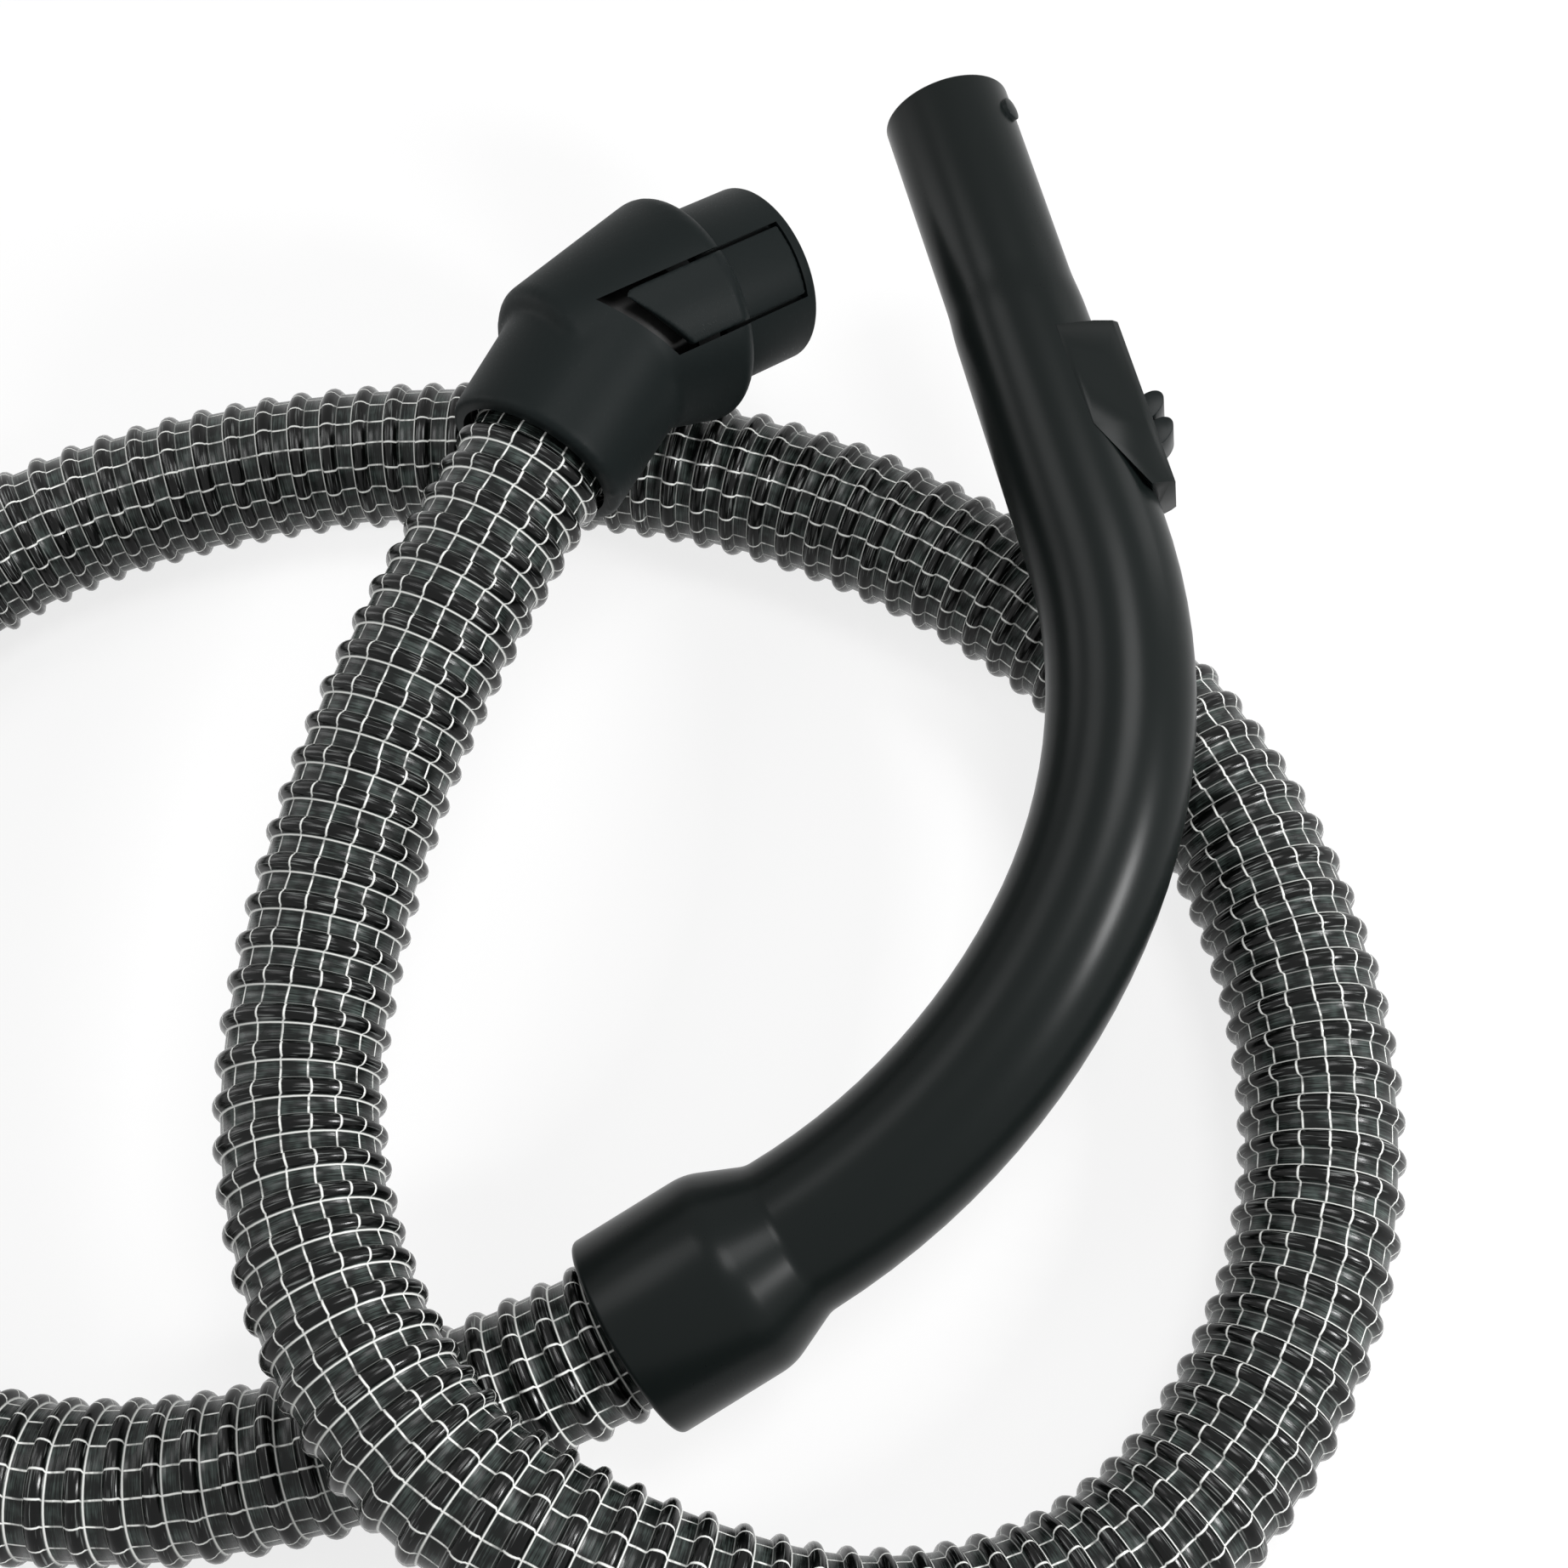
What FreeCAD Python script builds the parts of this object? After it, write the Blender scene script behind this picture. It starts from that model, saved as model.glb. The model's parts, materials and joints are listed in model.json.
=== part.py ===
import FreeCAD, Part
import Sketcher
import math
import os

from FreeCAD import Placement, Rotation, Vector

# Suction hose of a household canister vacuum cleaner, lying in a loose loop on the floor.
# One end goes into a swivelling elbow that plugs into the cleaner, the other end goes into
# the bell of a bent hand grip whose far end takes the extension wand.
# Millimetres. The floor is at zero height, and the origin lies on it under the middle of
# the grip and the elbow. Seen from above, the grip lies to the right, the elbow to the
# upper left, and the hose goes round between them.

doc = FreeCAD.newDocument("vacuum_hose")
sheet = doc.addObject("Spreadsheet::Sheet", "Sizes")

SIZES = [
    # hose
    ("hose_r", 19.0), ("hose_root_r", 17.15), ("hose_bore_r", 16.0), ("rib_pitch", 8.5),
    ("rib_crown", 2.4), ("rib_foot", 3.8), ("floor_flat", 0.5),
    # bell of the grip, measured along its own axis from the rim
    ("bell_x", -46.4), ("bell_y", -139.9), ("bell_height", 23.95), ("bell_turn", 29.0),
    ("bell_rise", 8.5), ("grip_lean", 5.0),
    ("bell_r", 24.4), ("bell_wall", 2.0), ("bell_length", 29.4), ("bell_round", 1.4),
    ("cone_length", 14.0), ("neck_r", 18.7), ("bell_depth", 29.0),
    # grip tube
    ("bend_one_r", 164.0), ("bend_one_turn", 34.0),
    ("bend_two_r", 131.0), ("bend_two_turn", 41.4), ("grip_mid_r", 17.7),
    ("wand_root_r", 17.3), ("wand_length", 121.5), ("wand_plain", 56.0),
    ("wand_r", 15.85), ("wand_round", 0.8), ("wand_shoulder_r", 16.3), ("grip_wall", 2.0),
    ("step_ramp", 0.6), ("tip_length", 13.0), ("tip_r", 15.7),
    # swivel inside the bell
    ("grip_cuff_start", 9.0), ("grip_hose_depth", 25.0), ("cuff_end_wall", 2.0),
    ("swivel_gap", 0.3), ("cuff_slack", 0.05), ("snap_width", 1.6), ("snap_bite", 0.8),
    ("snap_reach", 1.4), ("seal_width", 3.0), ("seal_depth", 1.4), ("seal_place", 6.0),
    ("seal_gap", 0.1),
    # air regulator on the outer side of the grip
    ("vent_start", 4.0), ("vent_end", 47.7), ("vent_slope", 5.0), ("vent_height", 21.6),
    ("vent_half", 9.0), ("vent_chamfer", 1.2), ("vent_skin", 0.15), ("seam_drop", 0.49),
    ("seam_height", 16.0), ("skirt_height", 4.0),
    ("track_start", 8.5), ("track_end", 44.5), ("track_half", 7.9), ("track_mouth_half", 7.0),
    ("track_floor", 19.2), ("track_lip", 0.8), ("slide_gap", 0.1), ("slide_side_gap", 0.3),
    ("slider_start", 11.8), ("slider_length", 20.0), ("ridge_r", 3.2), ("ridge_pitch", 7.2),
    ("ridge_half", 5.8), ("port_length", 12.0), ("port_width", 7.0), ("pad_depth", 0.7),
    ("pad_margin", 2.0), ("leaf_start", 33.0), ("leaf_length", 10.0), ("leaf_width", 4.0),
    ("leaf_thick", 0.3), ("leaf_rise", 0.6), ("leaf_inset", 0.2),
    # snap button near the wand tip
    ("button_inset", 9.0), ("button_r", 3.0), ("button_turn", 25.0), ("button_out", 2.4),
    ("button_flange_r", 4.2), ("button_flange", 1.0), ("button_gap", 0.2),
    ("clip_thick", 0.5), ("clip_width", 5.0), ("clip_length", 26.0), ("clip_lap", 5.0),
    # elbow mouth and neck, measured along the mouth axis from the lip
    ("mouth_x", -67.9), ("mouth_y", 60.5), ("mouth_height", 72.0), ("mouth_turn", 62.0),
    ("mouth_r", 23.0), ("mouth_round", 1.8), ("lip_width", 3.0), ("lip_gap", 0.4),
    ("neck_length", 39.3), ("neck_end_r", 25.6), ("elbow_wall", 2.2), ("neck_bore_r", 21.9),
    ("elbow_hose_depth", 26.0),
    # elbow body and spigot, measured along the spigot axis from the bend
    ("spigot_turn", 38.9), ("spigot_drop", 18.0), ("latch_roll", 37.0),
    ("heel_back", 21.0), ("heel_r", 22.8), ("heel_round", 4.0), ("body_front", 20.5),
    ("body_r", 30.4), ("shoulder_end", 31.6), ("spigot_start", 27.0), ("spigot_end", 46.9),
    ("spigot_r", 22.6), ("spigot_wall", 2.0), ("spigot_round", 1.0), ("duct_r", 18.8),
    ("spigot_seat", 0.3), ("duct_bore_r", 17.0), ("duct_joint", 12.0),
    ("duct_straight", 0.2), ("rim_web", 2.4),
    # snap latches on two opposite sides of the spigot
    ("latch_half", 9.2), ("latch_gap", 0.7), ("latch_root", 44.0), ("latch_thick", 2.2),
    ("latch_end", 0.1), ("latch_skew", 0.66), ("finger_gap", 5.0), ("latch_low", 14.0),
]

for row, (alias, number) in enumerate(SIZES, start=1):
    sheet.set("A%d" % row, alias)
    sheet.set("B%d" % row, str(number))
    sheet.setAlias("B%d" % row, alias)
doc.recompute()


def size(alias):
    return float(sheet.get(alias))


# Frames

BELL = Placement(
    Vector(size("bell_x"), size("bell_y"), size("bell_height")),
    Rotation(Vector(0, 0, 1), size("bell_turn"))
    * Rotation(Vector(0, 1, 0), -size("bell_rise"))
    * Rotation(Vector(1, 0, 0), size("grip_lean")),
)
MOUTH = Placement(
    Vector(size("mouth_x"), size("mouth_y"), size("mouth_height")),
    Rotation(Vector(0, 0, 1), size("mouth_turn")),
)
# Along the spigot, with the front latch in its up direction.
BEND = Placement(
    MOUTH.multVec(Vector(size("neck_length"), 0, 0)),
    Rotation(Vector(0, 0, 1), size("spigot_turn"))
    * Rotation(Vector(0, 1, 0), size("spigot_drop"))
    * Rotation(Vector(1, 0, 0), size("latch_roll")),
)


# Where the bell's shoulder cone ends and the first bend starts.
NECK = size("bell_length") + size("cone_length")


def grip_marks():
    """Where the grip's centre line changes, in the bell's frame: place, heading, length so far."""
    heading = 0.0
    length = NECK
    place = Vector(length, 0, 0)
    marks = [(place, heading, length)]
    for name in ("bend_one", "bend_two"):
        radius = size(name + "_r")
        turn = math.radians(size(name + "_turn"))
        centre = place + Vector(-math.sin(heading), math.cos(heading), 0) * radius
        heading += turn
        length += radius * turn
        place = centre + Vector(math.sin(heading), -math.cos(heading), 0) * radius
        marks.append((place, heading, length))
    return marks


GRIP_MARKS = grip_marks()
WAND_ROOT, WAND_HEADING, WAND_START = GRIP_MARKS[-1]
# Along the wand end, with the outer side of the bend as its up direction.
WAND = BELL * Placement(
    WAND_ROOT,
    Rotation(Vector(0, 0, 1), math.degrees(WAND_HEADING)) * Rotation(Vector(1, 0, 0), 90),
)
BUTTON = WAND * Placement(
    Vector(size("wand_length") - size("button_inset"), 0, 0),
    Rotation(Vector(1, 0, 0), -size("button_turn")),
)


# Building helpers

def shaped(label, shape, placement):
    """A sub-part whose shape is worked out in code, in its own frame."""
    feature = doc.addObject("Part::Feature", label)
    feature.Label = label
    feature.Shape = shape
    feature.Placement = placement * shape.Placement
    return feature


def turned_body(label, outline, placement):
    """A PartDesign body turned about its X axis from (along, radius) pairs of expressions."""
    body = doc.addObject("PartDesign::Body", label)
    body.Label = label
    plane = [item for item in body.Origin.OriginFeatures if item.Role == "XY_Plane"][0]
    sketch = body.newObject("Sketcher::SketchObject", label + "_outline")
    sketch.AttachmentSupport = [(plane, "")]
    sketch.MapMode = "FlatFace"
    corners = [
        Vector(float(body.evalExpression(along)), float(body.evalExpression(out)), 0)
        for along, out in outline
    ]
    count = len(corners)
    for index in range(count):
        line = Part.LineSegment(corners[index], corners[(index + 1) % count])
        sketch.addGeometry(line, False)
    for index in range(count):
        sketch.addConstraint(
            Sketcher.Constraint("Coincident", index, 2, (index + 1) % count, 1))
    for index, (along, out) in enumerate(outline):
        at = sketch.addConstraint(
            Sketcher.Constraint("DistanceX", -1, 1, index, 1, corners[index].x))
        sketch.setExpression("Constraints[%d]" % at, along)
        at = sketch.addConstraint(
            Sketcher.Constraint("DistanceY", -1, 1, index, 1, corners[index].y))
        sketch.setExpression("Constraints[%d]" % at, out)
    turn = body.newObject("PartDesign::Revolution", label + "_turned")
    turn.Profile = sketch
    turn.ReferenceAxis = (sketch, ["H_Axis"])
    turn.Angle = 360
    body.Tip = turn
    body.Placement = placement
    return body


def turned(outline):
    """A solid turned about the X axis. A point of three numbers is the middle of an arc."""
    points = [Vector(item[0], item[1], 0) for item in outline]
    middles = [len(item) == 3 for item in outline]
    edges = []
    count = len(points)
    for index in range(count):
        after = (index + 1) % count
        if middles[index]:
            continue
        if middles[after]:
            arc = Part.Arc(points[index], points[after], points[(after + 1) % count])
            edges.append(arc.toShape())
        else:
            edges.append(Part.LineSegment(points[index], points[after]).toShape())
    return Part.Face(Part.Wire(edges)).revolve(Vector(0, 0, 0), Vector(1, 0, 0), 360)


def corner_middle(centre_x, centre_y, radius, degrees):
    """The middle of an arc, as a three-number point of an outline."""
    angle = math.radians(degrees)
    return (centre_x + radius * math.cos(angle), centre_y + radius * math.sin(angle), "arc")


def rod(start, length, radius):
    """A cylinder along X."""
    return Part.makeCylinder(radius, length, Vector(start, 0, 0), Vector(1, 0, 0))


def block(x_low, x_high, half, z_low, z_high):
    """A box that is even about the XZ plane."""
    return Part.makeBox(x_high - x_low, 2 * half, z_high - z_low,
                        Vector(x_low, -half, z_low))


def ring(centre, along, radius):
    """A circle square to a direction, started on its level side."""
    side = Vector(0, 0, 1).cross(along).normalize()
    up = along.cross(side)
    wire = Part.Wire([Part.makeCircle(radius)])
    wire.Placement = Placement(centre, Rotation(side, up, along, "ZXY"))
    return wire


# Hose

HOSE_END_AT_ELBOW = MOUTH.multVec(Vector(size("elbow_hose_depth"), 0, 0))
HOSE_END_AT_GRIP = BELL.multVec(Vector(size("grip_hose_depth"), 0, 0))
# Height of the axis where the hose lies on the floor.
LIE = size("hose_r") - size("floor_flat")
BELL_RUN = (size("bell_height") - LIE) / math.sin(math.radians(size("bell_rise")))
ROUTE = [
    HOSE_END_AT_ELBOW,
    MOUTH.multVec(Vector(-42, 0, 0)),
    Vector(-110.8, -41, 64),
    Vector(-118.5, -107, 58.5),
    Vector(-91.5, -168, 60.5),
    Vector(-45.5, -196, 53),
    Vector(12.5, -211, 39),
    Vector(68.5, -191, 26),
    Vector(106.5, -136, LIE),
    Vector(115, -75, LIE),
    Vector(97.5, -9, LIE),
    Vector(55.5, 44.5, LIE),
    Vector(-6.5, 82, LIE),
    Vector(-73.5, 98, LIE),
    Vector(-153.5, 98, LIE),
    Vector(-230.5, 73, LIE),
    Vector(-279.5, 12, LIE),
    Vector(-287.5, -67, LIE),
    Vector(-252.5, -138, LIE),
    Vector(-183.5, -176, LIE),
    BELL.multVec(Vector(-BELL_RUN, 0, 0)),
    HOSE_END_AT_GRIP,
]
ARC_SHARE = 0.45


def route_edges():
    """Straight runs and tangent arcs along the route; prints each arc's radius."""
    edges = []
    start = ROUTE[0]
    for index in range(1, len(ROUTE) - 1):
        corner = ROUTE[index]
        before = corner - ROUTE[index - 1]
        after = ROUTE[index + 1] - corner
        reach = ARC_SHARE * min(before.Length, after.Length)
        turn = before.getAngle(after)
        radius = reach / math.tan(turn / 2)
        before.normalize()
        after.normalize()
        enter = corner - before * reach
        leave = corner + after * reach
        inward = (after - before).normalize()
        middle = corner + inward * (radius / math.cos(turn / 2) - radius)
        edges.append(Part.LineSegment(start, enter).toShape())
        edges.append(Part.Arc(enter, middle, leave).toShape())
        start = leave
        print("route point %d turn %.1f degrees radius %.0f mm"
              % (index, math.degrees(turn), radius))
    edges.append(Part.LineSegment(start, ROUTE[-1]).toShape())
    return edges


def along_edges(edges, distance):
    """The place and direction at a distance along a chain of edges."""
    for edge in edges:
        if distance <= edge.Length:
            at = edge.getParameterByLength(distance)
            return edge.valueAt(at), edge.tangentAt(at)
        distance -= edge.Length
    last = edges[-1]
    return last.valueAt(last.LastParameter), last.tangentAt(last.LastParameter)


def hose_shape():
    """Ribbed tube with its bore, flattened where it lies on the floor."""
    edges = route_edges()
    length = sum(edge.Length for edge in edges)
    ribs = int(length / size("rib_pitch"))
    pitch = length / ribs
    foot = size("rib_foot") / 2
    crown = size("rib_crown") / 2
    outer = [ring(*along_edges(edges, 0.0), size("hose_root_r"))]
    for index in range(ribs):
        middle = (index + 0.5) * pitch
        for offset, radius in ((-foot, size("hose_root_r")), (-crown, size("hose_r")),
                               (crown, size("hose_r")), (foot, size("hose_root_r"))):
            outer.append(ring(*along_edges(edges, middle + offset), radius))
    outer.append(ring(*along_edges(edges, length), size("hose_root_r")))
    inner = []
    for index in range(2 * ribs + 1):
        inner.append(ring(*along_edges(edges, index * pitch / 2), size("hose_bore_r")))
    tube = Part.makeLoft(outer, True, True).cut(Part.makeLoft(inner, True, True))
    band = size("rib_pitch") - size("rib_foot")
    slope = size("rib_foot") - size("rib_crown")
    square = (band * size("hose_root_r") ** 2 + size("rib_crown") * size("hose_r") ** 2
              + slope * (size("hose_r") ** 2 + size("hose_r") * size("hose_root_r")
                         + size("hose_root_r") ** 2) / 3) / size("rib_pitch")
    section = math.pi * (square - size("hose_bore_r") ** 2)
    print("hose length %.0f mm, %d ribs, volume %.0f of %.0f mm3"
          % (length, ribs, tube.Volume, section * length))
    floor_depth = 5.0
    span = 2000.0
    floor = Part.makeBox(span, span, floor_depth, Vector(-span / 2, -span / 2, -floor_depth))
    return tube.cut(floor)


# Grip

def grip_radius(length):
    """Outer radius of the grip tube at a length along its centre line from the bell's rim."""
    middle = GRIP_MARKS[1][2]
    if length < middle:
        share = (length - NECK) / (middle - NECK)
        return size("neck_r") + share * (size("grip_mid_r") - size("neck_r"))
    share = (length - middle) / (WAND_START - middle)
    return size("grip_mid_r") + share * (size("wand_root_r") - size("grip_mid_r"))


def bend_core(thinner):
    """The bent middle of the grip, from its neck to the wand end, ring by ring."""
    rings = []
    stations = 15
    for start_mark, end_mark in zip(GRIP_MARKS, GRIP_MARKS[1:]):
        start, heading, begin = start_mark
        turn = end_mark[1] - heading
        run = end_mark[2] - begin
        radius = run / turn
        centre = start + Vector(-math.sin(heading), math.cos(heading), 0) * radius
        for index in range(stations + 1):
            if rings and index == 0:
                continue
            now = heading + turn * index / stations
            place = centre + Vector(math.sin(now), -math.cos(now), 0) * radius
            along = Vector(math.cos(now), math.sin(now), 0)
            length = begin + run * index / stations
            rings.append(ring(place, along, grip_radius(length) - thinner))
    return Part.makeLoft(rings, True, True)


def wand_core(thinner, tip):
    """The straight wand end in the wand's frame: thicker root, small step, slim end."""
    step = size("wand_length") - size("wand_plain")
    core = turned([
        (0, 0), (0, size("wand_root_r") - thinner),
        (step, size("wand_shoulder_r") - thinner),
        (step + size("step_ramp"), size("wand_r") - thinner),
    ] + tip)
    # Its seam lies where the bend's seam ends.
    core.rotate(Vector(0, 0, 0), Vector(1, 0, 0), -90)
    return core


def wand_outside():
    bend = size("wand_round")
    tip = size("wand_length")
    radius = size("tip_r")
    lead = tip - size("tip_length")
    return wand_core(0, [
        (lead, size("wand_r")), (lead + size("step_ramp"), radius),
        (tip - bend, radius), corner_middle(tip - bend, radius - bend, bend, 45),
        (tip, radius - bend), (tip, 0),
    ])


def wand_inside():
    beyond = size("wand_length") + 1
    return wand_core(size("grip_wall"), [
        (beyond, size("wand_r") - size("grip_wall")), (beyond, 0),
    ])


def bell_inside():
    """The hollow of bell and neck, with the groove for the snap ring."""
    cavity_r = size("bell_r") - size("bell_wall")
    neck_r = size("neck_r") - size("grip_wall")
    groove_end = size("grip_cuff_start") - size("swivel_gap")
    groove = groove_end - size("snap_width")
    deep = cavity_r + size("snap_bite")
    return turned([
        (-1, 0), (-1, cavity_r), (groove, cavity_r), (groove, deep), (groove_end, deep),
        (groove_end, cavity_r), (size("bell_depth"), cavity_r), (size("bell_depth"), neck_r),
        (NECK, neck_r), (NECK, 0),
    ])


def bell_core():
    """The bell, its shoulder cone and neck, with a rounded rim."""
    bend = size("bell_round")
    return turned([
        (0, 0), (0, size("bell_r") - bend),
        corner_middle(bend, size("bell_r") - bend, bend, 135),
        (bend, size("bell_r")), (size("bell_length"), size("bell_r")),
        (NECK, size("neck_r")), (NECK, 0),
    ])


def in_bell_frame(shape):
    """A shape of the wand's frame, moved into the bell's frame."""
    moved = shape.copy()
    moved.Placement = BELL.inverse() * WAND * moved.Placement
    return moved


def port_shape():
    """The air port: a slot with round ends through the outer side of the grip."""
    middle = size("slider_start") + size("slider_length") / 2
    radius = size("port_width") / 2
    reach = size("port_length") / 2 - radius
    low = size("wand_root_r") - 2 * size("grip_wall")
    high = size("vent_height")
    slot = block(middle - reach, middle + reach, radius, low, high)
    for end in (middle - reach, middle + reach):
        slot = slot.fuse(Part.makeCylinder(radius, high - low, Vector(end, 0, low)))
    return slot


def handle_tube():
    outside = bell_core().fuse([bend_core(0), in_bell_frame(wand_outside())])
    inside = bell_inside().fuse([bend_core(size("grip_wall")),
                                 in_bell_frame(wand_inside())])
    button_hole = Part.makeCylinder(size("button_r") + size("button_gap"),
                                    2 * size("wand_r"))
    button_hole.Placement = BELL.inverse() * BUTTON
    tube = outside.cut(inside).cut([in_bell_frame(port_shape()), button_hole])
    return shaped("handle_tube", tube, BELL)


def cuff_outline(start, depth, outer):
    """Outline of a hose cuff: seal groove outside, hose seat and end wall inside."""
    seal = "(%s + Sizes.seal_place)" % start
    end = "(%s + Sizes.cuff_end_wall)" % depth
    groove = "(%s - Sizes.seal_depth)" % outer
    seat = "(Sizes.hose_r + Sizes.cuff_slack)"
    return [
        (start, seat), (start, outer), (seal, outer), (seal, groove),
        (seal + " + Sizes.seal_width", groove), (seal + " + Sizes.seal_width", outer),
        (end, outer), (end, "Sizes.hose_bore_r"), (depth, "Sizes.hose_bore_r"), (depth, seat),
    ]


def swivel_parts(side, start, depth, cavity, frame):
    """Cuff and seal ring on the hose end, and the snap ring in the housing's groove."""
    outer = "(%s - Sizes.swivel_gap)" % cavity
    turned_body(side + "_cuff", cuff_outline(start, depth, outer), frame)
    seal = "(%s + Sizes.seal_place)" % start
    turned_body(side + "_seal", [
        (seal, outer + " - Sizes.seal_depth"), (seal, cavity + " - Sizes.seal_gap"),
        (seal + " + Sizes.seal_width", cavity + " - Sizes.seal_gap"),
        (seal + " + Sizes.seal_width", outer + " - Sizes.seal_depth"),
    ], frame)


def snap_ring(label, start, cavity, frame):
    inner = "(%s - Sizes.snap_reach)" % cavity
    outer = "(%s + Sizes.snap_bite)" % cavity
    end = "(%s + Sizes.snap_width)" % start
    turned_body(label, [(start, inner), (start, outer), (end, outer), (end, inner)], frame)


# Air regulator

def vent_section(along, tube_r):
    """Cross-section of the vent housing: flat top, chamfers, walls that meet the tube."""
    half = size("vent_half")
    top = size("vent_height")
    cut = size("vent_chamfer")
    radius = tube_r + size("vent_skin")
    reach = math.hypot(half, top - cut)
    angle = math.atan2(half, top - cut) + math.acos(radius / reach)
    low = size("skirt_height")
    side_y = radius * math.sin(angle)
    side_z = radius * math.cos(angle)
    points = [
        Vector(along, half - cut, top), Vector(along, half, top - cut),
        Vector(along, side_y, side_z), Vector(along, side_y, low),
        Vector(along, -side_y, low), Vector(along, -side_y, side_z),
        Vector(along, -half, top - cut), Vector(along, cut - half, top),
    ]
    return Part.makePolygon(points + points[:1])


def vent_cover():
    start = size("vent_start")
    end = size("vent_end") + size("vent_slope")
    step = size("wand_length") - size("wand_plain")
    root = size("wand_root_r")
    fall = (root - size("wand_shoulder_r")) / step
    cover = Part.makeLoft([vent_section(start, root - fall * start),
                           vent_section(end, root - fall * end)], True, True)
    tube = Part.makeCone(root, size("wand_shoulder_r"), step, Vector(0, 0, 0), Vector(1, 0, 0))
    reach = 40.0
    low = size("skirt_height")
    # Everything on the tube's side of the slanted parting line goes.
    run = (size("seam_height") - low) / size("seam_drop")
    seam = Part.makePolygon([
        Vector(start - reach, -reach, low - reach), Vector(start - reach, -reach, reach),
        Vector(start, -reach, size("vent_height") - 1),
        Vector(start, -reach, size("seam_height")),
        Vector(start + run, -reach, low), Vector(start + run, -reach, low - reach),
        Vector(start - reach, -reach, low - reach),
    ])
    under_seam = Part.Face(seam).extrude(Vector(0, 2 * reach, 0))
    nose = Part.makePolygon([
        Vector(size("vent_end"), -reach, size("vent_height")),
        Vector(size("vent_end"), -reach, reach), Vector(end + 1, -reach, reach),
        Vector(end + 1, -reach, low), Vector(end, -reach, low),
        Vector(end, -reach, size("seam_height")),
        Vector(size("vent_end"), -reach, size("vent_height")),
    ])
    beyond_nose = Part.Face(nose).extrude(Vector(0, 2 * reach, 0))
    floor = size("track_floor")
    lip = size("vent_height") - size("track_lip")
    track = block(size("track_start"), size("track_end"), size("track_half"), floor, lip)
    mouth = block(size("track_start"), size("track_end"), size("track_mouth_half"), floor,
                  size("vent_height") + 1)
    pocket = block(size("leaf_start"), size("leaf_start") + size("leaf_length"),
                   size("leaf_width") / 2, floor - size("leaf_rise") - size("leaf_thick"),
                   floor + 0.1)
    cover = cover.cut([tube, under_seam, beyond_nose])
    cover = cover.cut([track.fuse(mouth), port_shape(), pocket])
    return shaped("vent_cover", cover, WAND)


def air_slider():
    start = size("slider_start")
    end = start + size("slider_length")
    low = size("track_floor") + size("slide_gap")
    lip = size("vent_height") - size("track_lip") - size("slide_gap")
    top = size("vent_height")
    plate = block(start, end, size("track_half") - size("slide_side_gap"), low, lip)
    cap = block(start, end, size("track_mouth_half") - size("slide_side_gap"), low, top)
    slider = plate.fuse(cap)
    middle = (start + end) / 2
    half = size("ridge_half")
    for offset in (-size("ridge_pitch") / 2, size("ridge_pitch") / 2):
        ridge = Part.makeCylinder(size("ridge_r"), 2 * half,
                                  Vector(middle + offset, -half, top), Vector(0, 1, 0))
        upper = block(start, end, half, lip, top + 2 * size("ridge_r"))
        slider = slider.fuse(ridge.common(upper))
    margin = size("pad_margin")
    seat = block(start + margin, end - margin,
                 size("track_mouth_half") - margin, low - 1, low + size("pad_depth"))
    slider = slider.cut(seat)
    shaped("air_slider", slider.removeSplitter(), WAND)
    pad = block(start + margin, end - margin, size("track_mouth_half") - margin,
                low, low + size("pad_depth"))
    shaped("slider_pad", pad, WAND)


def slider_spring():
    """A bowed leaf in the pocket of the track's floor."""
    start = size("leaf_start")
    end = start + size("leaf_length")
    floor = size("track_floor")
    rise = size("leaf_rise")
    thick = size("leaf_thick")
    low = floor - rise - thick
    middle = (start + end) / 2
    inset = size("leaf_inset")
    lower = Part.Arc(Vector(start + inset, 0, low), Vector(middle, 0, low + rise),
                     Vector(end - inset, 0, low)).toShape()
    upper = Part.Arc(Vector(end - inset, 0, low + thick),
                     Vector(middle, 0, low + rise + thick),
                     Vector(start + inset, 0, low + thick)).toShape()
    sides = [
        Part.LineSegment(Vector(end - inset, 0, low), Vector(end - inset, 0, low + thick)),
        Part.LineSegment(Vector(start + inset, 0, low + thick), Vector(start + inset, 0, low)),
    ]
    outline = Part.Wire([lower, sides[0].toShape(), upper, sides[1].toShape()])
    half = size("leaf_width") / 2 - inset
    leaf = Part.Face(outline).extrude(Vector(0, 2 * half, 0))
    leaf.translate(Vector(0, -half, 0))
    shaped("slider_spring", leaf, WAND)


# Snap button

def wand_button():
    bore = size("wand_r") - size("grip_wall")
    top = size("wand_r") + size("button_out")
    flange_top = math.sqrt(bore ** 2 - size("button_flange_r") ** 2) - size("button_gap")
    low = flange_top - size("button_flange")
    stem = Part.makeCylinder(size("button_r"), top - low, Vector(0, 0, low))
    dome_r = 2.0 * size("button_r")
    dome = Part.makeSphere(dome_r, Vector(0, 0, top - dome_r))
    below = Part.makeCylinder(size("button_flange_r"), top - low - 1, Vector(0, 0, low))
    flange = Part.makeCylinder(size("button_flange_r"), size("button_flange"),
                               Vector(0, 0, low))
    button = stem.common(dome.fuse(below)).fuse(flange)
    shaped("wand_button", button.removeSplitter(), BUTTON)
    return low


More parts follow.
